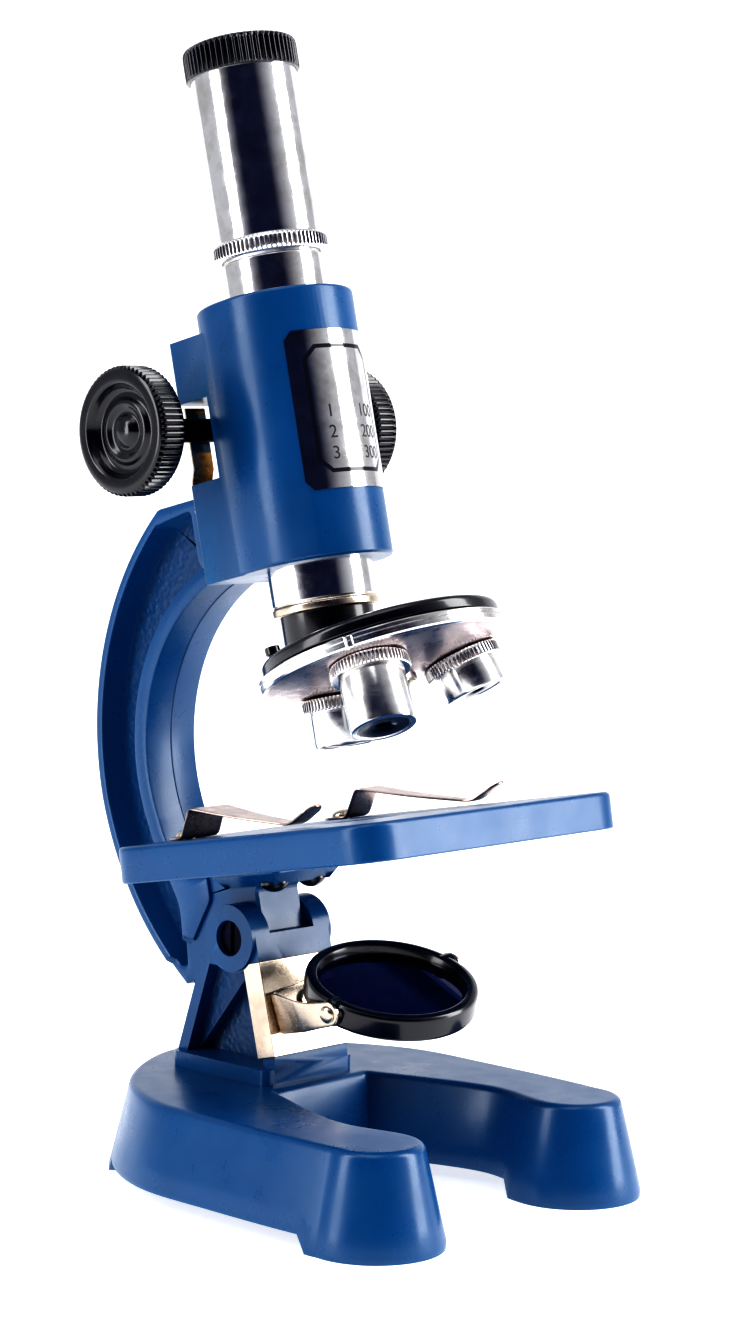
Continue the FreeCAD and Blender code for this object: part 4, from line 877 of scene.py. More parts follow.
# ------------------------------------------------------------------ the shared axes
class Axes:
    """Axes of every sub-assembly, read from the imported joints."""

    def __init__(self) -> None:
        """Work out the places from the joints' points and directions."""
        across, level, upright = np.eye(3)
        axle, _ = joint("arm_tilt")
        self.floor = Place(np.array([0.0, axle[1], 0.0]), across, level, upright)
        _, up = joint("focus_slide")
        self.limb = Place(axle, across, np.cross(up, across), up)
        self.tube = self.limb.moved(y=TUBE_Y)
        shaft, _ = joint("pinion_spin")
        self.shaft = Place(shaft, across, self.limb.y, self.limb.z)
        turret, spin = joint("turret_spin")
        self.turret = Place(turret, across, np.cross(spin, across), spin)
        rivet, normal = joint("clip_left_swing")
        self.rivet_x = abs(rivet[0])
        self.stage = Place(rivet * np.array([0, 1, 1]), across, np.cross(normal, across), normal)
        foot, outward = joint("mirror_swivel")
        self.slope = Place(foot, across, -outward, np.cross(across, -outward))
        centre, pivot = joint("mirror_tilt")
        self.fork = Place(foot, pivot, -outward, np.cross(pivot, -outward))
        lean = math.degrees(math.atan2(self.slope.z[1], self.slope.z[2]))
        self.mirror = Place(centre, self.fork.x, self.fork.y, self.fork.z).leaned(lean + 15.0)


@dataclass
class Foot:
    """The hollow horseshoe foot.

    Attributes:
        height: height of the flat top.
        flare: how far the walls lean out from top to bottom.
        wall: wall thickness.
        toe: middle of the right toe and its radius at the top.
    """

    height: float = 18.4
    flare: float = 4.4
    wall: float = 2.4
    toe: tuple[float, float, float] = (26.4, -54.2, 8.6)

    def side(self, knots: Array, start: Array, end: Array, count: int) -> Array:
        """Cubic curve through knots: tangents are central differences, blended with the Hermite polynomials."""
        p = np.asarray(knots, float)
        m = np.gradient(p, axis=0)
        m[0] = unit(start) * np.linalg.norm(p[1] - p[0])
        m[-1] = unit(end) * np.linalg.norm(p[-1] - p[-2])
        at = np.linspace(0, len(p) - 1 - 1e-9, count)
        k = at.astype(int)
        t = (at - k)[:, None]
        return ((2 * t**3 - 3 * t**2 + 1) * p[k] + (t**3 - 2 * t**2 + t) * m[k]
                + (-2 * t**3 + 3 * t**2) * p[k + 1] + (t**3 - t**2) * m[k + 1])

    def edges(self) -> tuple[Array, Array]:
        """Outer and inner top edges from the right toe's tip round to the left toe's tip, point by point.

        Returns:
            Two lines of equal length.
        """
        x, y, r = self.toe
        turn = math.radians(98) * np.linspace(0, 1, 26)
        tip = np.stack([x + r * np.sin(turn), y - r * np.cos(turn)], axis=1)
        outer_leg = self.side([tip[-1], (35.6, -25.0), (34.5, -6.5), (27.0, 8.6), (14.5, 19.8), (0.0, 25.4)],
                              (0.1, 1), (-1, 0), 130)
        inner_tip = tip * [-1, 1] + [2 * x, 0]
        leg = self.side([inner_tip[-1], (19.8, -38.5), (12.7, -16.4)], (0.1, 1), (-0.35, 1), 80)
        notch = soft_line([leg[-1], (12.1, -14.6), (0.0, -14.6)], np.array([0, 1.8, 0]), 51, 8)
        inner_leg = np.vstack([leg[:-1], notch])
        outer = np.vstack([tip[:-1], outer_leg])
        inner = np.vstack([inner_tip[:-1], inner_leg])
        return tuple(np.vstack([line, line[-2::-1] * [-1, 1]]) for line in (outer, inner))

    def ground(self, y: Array) -> Array:
        """Height of the wall's lower edge: on the floor at toes and heel, 3 mm up between them."""
        return np.clip(np.minimum((y + 50.5) * 4 / 3 - 1, (14 - y) * 4 / 3 - 1), 0, 3)

    def walls(self, line: Array, outward: Array, inside: bool) -> Array:
        """Points of one wall from its lower edge up: line + outward*(flare*(1 - z/height) - inset).

        Args:
            line: top edge.
            outward: unit directions away from the plastic.
            inside: whether this is the wall's hidden side.

        Returns:
            (steps, points, 3) points.
        """
        low = self.ground(line[:, 1])
        if inside:
            rise, inset = np.linspace(0, 1, 5), np.full(5, self.wall)
            z = low + rise[:, None] * (self.height - 3.0 - low)
        else:
            turn = np.linspace(0, math.pi / 2, 7)
            soft = 1.1
            rise = np.r_[0, 0.06, 0.3, 0.6, 0.85, np.ones(7), 1]
            inset = np.r_[0.35, np.zeros(4), soft * (1 - np.cos(turn)), soft + 0.5]
            drop = np.r_[0, 0, 0, 0, 0, soft * (1 - np.sin(turn)), 0]
            z = low + rise[:, None] * (self.height - low) - drop[:, None] * (rise[:, None] >= 1)
            z[4] = np.minimum(z[4], self.height - soft - 1)
        grow = self.flare * (1 - z / self.height) - inset[:, None]
        flat = line[None] + outward[None] * grow[..., None]
        return np.concatenate([flat, z[..., None]], axis=2)

    def build(self, shop: Workshop, axes: Axes) -> None:
        """Make the foot as one closed loop: outer wall, top, inner wall and the hollow below."""
        outer, inner = self.edges()
        loops = []
        for line, side in ((outer, 1), (inner, -1)):
            along = np.gradient(line, axis=0)
            along /= np.linalg.norm(along, axis=1, keepdims=True)
            outward = side * np.stack([along[:, 1], -along[:, 0]], axis=1)
            outward[[0, -1]] = (0, -1)
            loops.append((self.walls(line, outward, False), self.walls(line, outward, True)))
        (out_wall, out_hidden), (in_wall, in_hidden) = loops
        t = np.linspace(0, 1, 10)[1:-1, None, None]
        top = (1 - t) * out_wall[-1] + t * in_wall[-1]
        roof = (1 - t) * in_hidden[-1] + t * out_hidden[-1]
        loop = np.concatenate([out_wall, top, in_wall[::-1], in_hidden, roof, out_hidden[::-1]])
        shop.build("foot_horseshoe", [Surface(axes.floor.put(loop))], [BLUE], "foot", ("base",))


@dataclass
class Pillar:
    """The forked pillar with its axle and screws.

    Attributes:
        axle_z: height of the tilting axle.
    """

    axle_z: float = 44.7

    def build(self, shop: Workshop, axes: Axes) -> None:
        """Soften and dress the pillar, and dress its fasteners."""
        # The pebbled sunk panels take the darker blue finish, painted shade for the recess.
        test = GrainTest(3.0, 8.4, axes.floor, (-12, 20), (14.5, self.axle_z - 4))
        shop.moulded("pillar_fork", "pillar", [BLUE, BLUE_GRAIN_SHADED], "foot", 0.45, test)
        # Painted shade: the axle bolt and nut take the near-black metal so they stand for the dark inside of the
        # deep axle hole.
        for node in ("axle_bolt", "axle_nut"):
            shop.paint(node, BLACK_METAL)
        shop.paint("pillar_screws", STEEL)


@dataclass
class Arm:
    """The C-shaped arm: a web with a rim all round, its tongue and the stage's foot.

    Attributes:
        half: half thickness.
        web: half thickness of the sunk web.
        back_rim: width of the outer rim.
        front_rim: width of the inner rim.
        thin: half thickness where the arm swings between the ears.
    """

    half: float = 6.45
    web: float = 1.1
    back_rim: float = 1.7
    front_rim: float = 3.4
    thin: float = 5.5

    def outline(self) -> tuple[Array, Array]:
        """Silhouette and panel edge, with matching points, in the arm's Y and Z.

        Returns:
            The closed outline and the closed edge of the sunk panel.
        """
        crown, heel, waist, knee = (6.1, 83.2), (34.9, 31.0), (18.6, 24.5), (12.5, 12.6)
        upper = arc(crown, (27.6, 60.6), heel, 70)
        lower = arc(heel, (30.2, 9.6), (19.3, -7.9), 50)
        inner = arc(waist, (13.6, 52.4), (-6.2, 66.4), 70)
        fillet = arc(knee, (16.6, 18.0), waist, 16)
        step = [(19.3, -7.9), (15.7, -7.0), (15.6, -1.0), (7.7, 7.6), (7.7, 12.3), knee]
        bottom = soft_line(step, 0.8, 40)
        head = soft_line([(-6.2, 66.4), (-10.3, 67.4), (-10.3, 83.2), crown], 0.8, 40)
        outline = np.vstack([line[:-1] for line in (upper, lower, bottom, fillet, inner, head)])
        back = inward(outline)
        rows = np.cumsum([0] + [len(line) - 1 for line in (upper, lower, bottom, fillet, inner, head)])
        edge = outline + back * self.back_rim
        inner_edge = (outline + back * self.front_rim)[rows[3] + 8:rows[5]]
        outer_edge = edge[rows[0] + 3:rows[2] - 3]
        foot = soft_line([outer_edge[-1], (17.8, -4.6), (16.4, 7.5), inner_edge[0]], 2.5, 60)
        top = soft_line([inner_edge[-1], (-3.4, 71.0), (-3.4, 81.4), outer_edge[0]], 1.6, 50)
        counts = (100, 48, 100, 48)
        panel = np.vstack([resampled(line, n + 1, False)[:-1]
                           for line, n in zip((outer_edge, foot, inner_edge, top), counts)])
        turned_outline = np.vstack([np.roll(outline, -3, 0), outline[3:4]])
        stops = (0, rows[2] - 6, rows[3] + 5, rows[5] - 3, len(outline))
        silhouette = np.vstack([resampled(turned_outline[a:b + 1], n + 1, False)[:-1]
                                for a, b, n in zip(stops, stops[1:], counts)])
        return silhouette, panel

    def half_at(self, flat: Array) -> Array:
        """Half thickness at each point: thinner below the line where the arm swings between the ears."""
        limit = np.interp(flat[:, 0], [7.4, 14.6, 17.0, 23.5], [7.4, 0.0, 0.6, -4.0])
        return np.where(flat[:, 1] < limit, self.thin, self.half)

    def half_body(self, place: Place, side: int) -> list[Surface]:
        """One side of the arm: wall to the rim, over the rim, down to the web.

        Each row is a line plus its inward normal * d; the web is closed along its middle line, where every
        point of the panel's edge meets its mate from the other side of the C.

        Args:
            place: the arm's axes.
            side: 1 for +X, -1 for -X.

        Returns:
            The rim and the pebbled panel.
        """
        silhouette, panel = self.outline()
        outer_steps = [(-0.12, 0, 0), (-0.1, 0.14, 0), (0.06, 0.3, 0),
                       (0.3, -0.5, 1), (0.42, -0.15, 1), (0.75, 0, 1)]
        inner_steps = [(0, 0, 1), (0.3, -0.12, 1), (0.5, -0.5, 1), (0.9, self.web + 0.6, 0), (1.3, self.web, 0)]
        rows = []
        for line, steps in ((silhouette, outer_steps), (panel, inner_steps)):
            normal, half = inward(line), self.half_at(line)
            rows += [np.column_stack([side * (x + from_half * half), line + normal * d])
                     for d, x, from_half in steps]
        edge = np.roll(rows[-1], 24, 0)
        mates = np.roll(edge[::-1], 1, 0)
        middle = np.roll((edge + mates) / 2, -24, 0)
        quarter = (3 * rows[-1] + middle) / 4
        # The pebbled panel takes the darker blue finish, painted shade for the sunk web.
        return [Surface(place.put(np.stack(rows, axis=1))),
                Surface(place.put(np.stack([rows[-1], quarter, middle], axis=1)), finish=1)]

    def build(self, shop: Workshop, axes: Axes) -> None:
        """Make the arm, its parting ridge, tongue and stage foot."""
        limb = axes.limb
        surfaces = self.half_body(limb, 1) + self.half_body(limb, -1)
        corners = [(17.5, -7.6), (-0.4, -4.3), (-4.3, -1.8), (-4.3, 8.4),
                   (-11.0, 9.6), (-13.4, 11.2), (12.0, 12.4), (17.5, 8.0)]
        tongue = rounded(np.array(corners), np.array([0.6, 3, 3, 1, 1, 0.5, 0.5, 0.5]), True)
        steps = [(0.5, -5.6), (0.0, -5.1), (0.0, 5.1), (0.5, 5.6)]
        surfaces.append(prism(limb, tongue, steps, across=True))
        foot = rounded(np.array([(-9, -9.9), (9, -9.9), (9, 8.0), (-9, 8.0)]), 1.5, True)
        gusset = [(2.6, -10.4), (1.2, -9.3), (0.0, -8.2), (0.0, -6.95)]
        surfaces.append(prism(axes.stage, foot, gusset))
        shop.build("arm_casting", surfaces, [BLUE, BLUE_GRAIN_SHADED], "limb", ("arm",))


@dataclass
class Stage:
    """The square stage with its skirt, light hole, screws and slide clips.

    Attributes:
        half: half width.
        front: front edge, measured from the clips' rivets.
        back: back edge.
        height: skirt height.
        hole: radius of the light hole.
        hole_y: middle of the light hole.
    """

    half: float = 33.8
    front: float = -59.8
    back: float = 8.5
    height: float = 6.8
    hole: float = 7.5
    hole_y: float = -24.35

    def plate(self, place: Place) -> Surface:
        """Top, skirt and underside as one closed loop between the rounded square and the round hole.

        Each point of the outline is joined to the point of the hole at the same angle about the hole's middle.

        Args:
            place: the stage's axes.

        Returns:
            The surface.
        """
        square = np.array([(-self.half, self.front), (self.half, self.front), (self.half, self.back),
                           (-self.half, self.back)])
        outline = resampled(rounded(square, 7.5, True, 14), 480, True)
        normal = inward(outline)
        angle = np.arctan2(outline[:, 1] - self.hole_y, outline[:, 0])
        ray = np.stack([np.cos(angle), np.sin(angle)], axis=1)
        middle = np.array([0.0, self.hole_y])
        turn = np.linspace(0, math.pi / 2, 6)
        outer = [(0.25, -self.height), (0.0, -self.height + 0.25), (0.0, -3.0)]
        outer += [(0.9 * (1 - math.cos(t)), -0.9 * (1 - math.sin(t))) for t in turn] + [(1.5, 0.0)]
        rows = [np.column_stack([outline + normal * d, np.full(len(outline), z)]) for d, z in outer]
        for r, z in ((self.hole + 0.5, 0.0), (self.hole + 0.1, -0.15), (self.hole, -0.5), (self.hole, -2.2)):
            rows.append(np.column_stack([middle + ray * r, np.full(len(outline), z)]))
        under = [(2.6, -2.2), (2.0, -2.8), (2.0, -self.height), (0.25, -self.height)]
        rows += [np.column_stack([outline + normal * d, np.full(len(outline), z)]) for d, z in under]
        return Surface(place.put(np.stack(rows, axis=1)))

    def clip(self, place: Place, turn: float) -> list[Surface]:
        """One bent spring clip: a strip whose width follows its path from the eye to the spoon tip.

        Args:
            place: axes at the rivet.
            turn: how far the clip is swung.

        Returns:
            The strip.
        """
        bends = [(3.2, 0.32), (-3.0, 0.32), (-5.8, 5.55), (-16.0, 3.1), (-28.6, 0.75), (-34.8, 3.75)]
        line = soft_line(bends, np.array([0, 1.0, 0.9, 9.0, 1.6, 0]), 110, 9)
        path = np.column_stack([np.zeros(len(line)), line])
        marks = [-3.2, -2.0, 1.5, 6.5, 27.0, 29.5, 33.0, 34.4, 34.9]
        widths = [3.4, 6.0, 9.4, 9.5, 4.2, 4.4, 4.3, 2.6, 0.7]
        width = np.interp(-line[:, 0], marks, widths)
        return [ribbon(place.spun(turn), path, np.array([1.0, 0, 0]), width, 0.5)]

    def build(self, shop: Workshop, axes: Axes) -> None:
        """Make the stage, the clips and their rivets, and dress the screws below."""
        shop.build("stage_plate", [self.plate(axes.stage)], [BLUE], "limb", ("stage",))
        heads = []
        for side, name, turn in ((-1, "left", 0.0), (1, "right", 16.4)):
            rivet = axes.stage.moved(x=side * axes.rivet_x)
            shop.build("slide_clip_" + name, self.clip(rivet, turn), [STEEL], "clip_" + name + "_body",
                       ("clip_" + name,))
            shank = [(1.4, -3.0), (1.4, 0.62), (2.2, 0.62), (2.3, 0.7)]
            heads.append(turned(rivet, np.vstack([shank, dome(2.3, 0.75, 1.2)]), 48))
        shop.build("clip_rivet_heads", heads, [STEEL_BRIGHT], "limb", ("clip_rivets",))
        shop.paint("stage_screws", BLACK)


@dataclass
class Sleeve:
    """The sleeve with its pinion block, label and leaf spring.

    Attributes:
        radius: outside radius of the sleeve.
        label_low: lower edge of the label.
        label_high: upper edge of the label.
        label_half: half the label's width along the curve.
        figure_size: height of the figures' type.
        row_step: distance between the rows of figures.
        type_at: how far the first row stands right of and above the label's middle.
    """

    radius: float = 13.9
    label_low: float = 77.6
    label_high: float = 107.0
    label_half: float = 11.1
    figure_size: float = 3.4
    row_step: float = 3.9
    type_at: tuple[float, float] = (0.9, -1.6)

    def wrap(self, place: Place, flat: Array, lift: Array | float) -> Array:
        """Bend flat label points round the sleeve: angle = x/radius from the front, z kept, radius + lift.

        Args:
            place: the tube's axes.
            flat: points with x along the curve and y up.
            lift: distance from the sleeve.

        Returns:
            Points in the row frame.
        """
        angle = -math.pi / 2 + flat[..., 0] / self.radius
        r = self.radius + lift
        return place.put(np.stack([r * np.cos(angle), r * np.sin(angle), flat[..., 1]], axis=-1))

    def label(self, shop: Workshop, place: Place) -> None:
        """Make the bent foil with cut corners; its right edge stands a little off the sleeve."""
        half_h = (self.label_high - self.label_low) / 2
        middle = (self.label_high + self.label_low) / 2
        nu, nv = 61, 25
        u, v = np.linspace(-1, 1, nu), np.linspace(-1, 1, nv)
        reach = half_h - 1.7 * np.clip((np.abs(u) - 0.87) / 0.13, 0, 1)
        x = np.broadcast_to((u * self.label_half)[:, None], (nu, nv))
        y = reach[:, None] * v[None]
        lift = 0.12 + 0.16 * np.clip((u - 0.75) / 0.25, 0, 1)[:, None] ** 2 + np.zeros_like(x)
        faces = [self.wrap(place, np.stack([x, y + middle], axis=-1), height).reshape(-1, 3)
                 for height in (lift + 0.1, lift)]
        count = nu * nv
        i, j = grid(nu - 1, nv - 1)
        a = i * nv + j
        quads = np.stack([a, a + nv, a + nv + 1, a + 1], axis=1)
        ring = np.r_[np.arange(nv), np.arange(1, nu) * nv + nv - 1,
                     (nu - 1) * nv + np.arange(nv - 2, -1, -1), np.arange(nu - 2, 0, -1) * nv]
        nxt = np.roll(ring, -1)
        sides = np.stack([ring, nxt, nxt + count, ring + count], axis=1)
        mesh = bpy.data.meshes.new("label_foil")
        mesh.from_pydata((np.concatenate(faces) * MM).tolist(), [],
                         np.vstack([quads, quads[:, ::-1] + count, sides]).tolist())
        flat = np.tile(np.stack([x, y], axis=-1).reshape(-1, 2), (2, 1))
        corner = np.zeros(len(mesh.loops), np.int32)
        mesh.loops.foreach_get("vertex_index", corner)
        mesh.uv_layers.new(name="surface_mm").data.foreach_set("uv", flat[corner].ravel().astype(np.float32))
        foil = Foil("label_foil_printed", Slot.FOIL, self.label_half, half_h)
        shop.finish_piece("label_foil", mesh, [foil], "limb", ("label_plate",), 60.0)

    def figures(self, shop: Workshop, place: Place) -> None:
        """Print three rows of plain figures on the label, wrapped round the sleeve."""
        middle = (self.label_high + self.label_low) / 2
        for row, words in enumerate(("1      100", "2      200", "3      300")):
            curve = bpy.data.curves.new("figure_row_%d" % (row + 1), "FONT")
            curve.body = words
            curve.size = self.figure_size
            curve.align_x = "CENTER"
            source = linked("figure_source", curve)
            bpy.context.view_layer.update()
            shown = source.evaluated_get(bpy.context.evaluated_depsgraph_get())
            mesh = bpy.data.meshes.new_from_object(shown)
            bpy.data.objects.remove(source)
            work = bmesh.new()
            work.from_mesh(mesh)
            bmesh.ops.triangulate(work, faces=work.faces)
            work.to_mesh(mesh)
            work.free()
            co = np.zeros(len(mesh.vertices) * 3)
            mesh.vertices.foreach_get("co", co)
            shift = [self.type_at[0], middle + self.type_at[1] - self.row_step * row]
            flat = co.reshape(-1, 3)[:, :2] + shift
            mesh.vertices.foreach_set("co", (self.wrap(place, flat, 0.24) * MM).ravel())
            shop.finish_piece("label_figures_%d" % (row + 1), mesh, [INK], "limb", (), 60.0, False)

    def build(self, shop: Workshop, axes: Axes) -> None:
        """Soften the sleeve, bend the label on it and dress the spring and its screws."""
        shop.moulded("sleeve_block", "sleeve", [BLUE], "limb", 0.3)
        self.label(shop, axes.tube)
        self.figures(shop, axes.tube)
        shop.moulded("pinion_leaf_spring", "pinion_spring", [STEEL_BRIGHT], "limb", 0.08)
        shop.paint("spring_screws", STEEL)


@dataclass
class Drive:
    """The pinion shaft, its gear and the two ribbed knobs.

    Attributes:
        knob_radius: outside radius of a knob.
        outer_face: distance of a knob's outer face from the middle.
        thickness: thickness of a knob.
        ribs: number of ribs round a knob.
    """

    knob_radius: float = 11.95
    outer_face: float = 30.8
    thickness: float = 6.2
    ribs: int = 66

    def knob(self, place: Place, side: int) -> list[Surface]:
        """A dished knob with ribs, a ring groove and a small centre boss.

        Args:
            place: axes on the shaft, Z along it.
            side: 1 or -1.

        Returns:
            Its surfaces.
        """
        r, t = self.knob_radius, self.thickness
        corners = [(0.0, 0.0), (r - 1.0, 0.0), (r - 0.35, 0.5), (r, 0.9), (r, t - 0.95), (r - 0.4, t - 0.45),
                   (r - 0.9, t - 0.12), (r - 1.4, t), (r - 2.9, t), (r - 3.3, t - 0.3), (r - 3.9, t - 1.7),
                   (r - 4.6, t - 2.3), (r - 5.7, t - 2.2), (r - 6.3, t - 1.5), (r - 7.0, t - 1.35),
                   (r - 7.9, t - 2.0), (r - 8.7, t - 2.1), (r - 9.3, t - 1.5), (r - 10.2, t - 0.9),
                   (r - 11.2, t - 0.7), (0.02, t - 0.68)]
        line = rounded(np.array(corners), 0.28, False, 4)
        depth = np.where((line[:, 1] > 0.45) & (line[:, 1] < t - 0.4) & (line[:, 0] > r - 0.6), 0.62, 0.0)
        base = side * (self.outer_face - t)
        profile = np.column_stack([line[:, 0], base + side * line[:, 1], depth])
        return [turned(place, profile, self.ribs * POINTS_PER_RIB, self.ribs)]

    def build(self, shop: Workshop, axes: Axes) -> None:
        """Make the knobs and the shaft, and dress the gear."""
        cross = axes.shaft.along_x()
        for side, name in ((-1, "left"), (1, "right")):
            shop.build("focus_knob_" + name, self.knob(cross, side), [BLACK], "drive", ("knob_" + name,))
        rod = soft_bar(2.24, -26.0, 26.0, 0.2)
        shop.build("pinion_rod", [turned(cross, rod, 64)], [BLACK_METAL], "drive", ("pinion_shaft",))
        shop.paint("pinion", BRASS)


@dataclass
class Tube:
    """The body tube, its foot ring and rack.

    Attributes:
        radius: outside radius.
        low: lower end.
        high: upper end.
    """

    radius: float = 9.8
    low: float = 58.6
    high: float = 122.9

    def build(self, shop: Workshop, axes: Axes) -> None:
        """Make the plated tube with its rolled groove and foot ring, and dress the rack."""
        r, low, high = self.radius, self.low, self.high
        wall = [(r - 0.6, low), (r - 0.1, low), (r, low + 0.15), (r, high - 0.3),
                (r - 0.3, high), (r - 0.6, high), (r - 0.6, low)]
        ring = [(8.7, 56.6), (9.55, 56.6), (9.9, 56.85), (9.92, 58.0), (9.7, 58.25), (9.62, 58.45),
                (9.7, 58.6), (8.7, 58.6), (8.7, 56.6)]
        pieces = (("plated_body_tube", wall, 0.1, CHROME, "body_tube"),
                  ("tube_foot_ring", ring, 0.12, STEEL_BRIGHT, "tube_end_ring"))
        for name, profile, soft, finish, node in pieces:
            surface = turned(axes.tube, rounded(np.array(profile), soft, False, 4), 160, caps=OPEN)
            shop.build(name, [surface], [finish], "tube", (node,))
        shop.paint("rack", BRASS)


@dataclass
class Eyepiece:
    """The draw tube, knurled collar, barrel, ribbed cap and lenses.

    Attributes:
        collar_low: lower face of the collar.
        cap_low: lower edge of the cap.
        cap_high: top of the cap.
    """

    collar_low: float = 123.2
    cap_low: float = 158.2
    cap_high: float = 164.2

    def build(self, shop: Workshop, axes: Axes) -> None:
        """Make every piece of the eyepiece."""
        low, b, t = self.collar_low, self.cap_low, self.cap_high
        barrel = [(9.5, low + 3.4), (9.98, low + 3.4), (10.0, low + 4.2), (10.0, t - 2.3), (9.5, t - 2.3),
                  (9.5, low + 3.4)]
        collar = [(9.2, low, 0), (10.45, low, 0), (10.75, low + 0.25, 0), (11.0, low + 0.6, 0.3),
                  (11.05, low + 0.9, 0.5), (11.05, low + 2.5, 0.5), (10.95, low + 2.8, 0.3),
                  (10.6, low + 3.1, 0), (10.35, low + 3.4, 0), (9.2, low + 3.4, 0), (9.2, low, 0)]
        cap = [(10.02, b, 0), (10.4, b, 0), (10.6, b + 0.15, 0), (10.75, b + 0.35, 0.3), (10.75, b + 0.6, 0.5),
               (10.75, t - 1.2, 0.5), (10.7, t - 0.8, 0.3), (10.5, t - 0.35, 0), (10.1, t - 0.08, 0),
               (9.7, t, 0), (7.4, t, 0), (7.0, t - 0.15, 0), (5.6, t - 0.9, 0), (4.2, t - 1.4, 0),
               (4.0, t - 1.6, 0), (4.0, t - 2.2, 0), (10.02, t - 2.2, 0), (10.02, b, 0)]
        pieces = (("eyepiece_barrel", barrel, 0, CHROME, "eyepiece_tube"),
                  ("knurled_collar", collar, 76, CHROME_TURNED, "eyepiece_collar"),
                  ("ribbed_eye_cap", cap, 58, BLACK, "eyepiece_cap"))
        for name, profile, ribs, finish, node in pieces:
            surface = turned(axes.tube, profile, ribs * POINTS_PER_RIB or 180, ribs, caps=OPEN)
            shop.build(name, [surface], [finish], "eyepiece", (node,))
        shop.paint("draw_tube", CHROME)
        for node in ("eye_lens_cell", "field_lens_cell"):
            shop.paint(node, BLACK)
        for node in ("eye_lens", "field_lens"):
            shop.paint(node, GLASS)


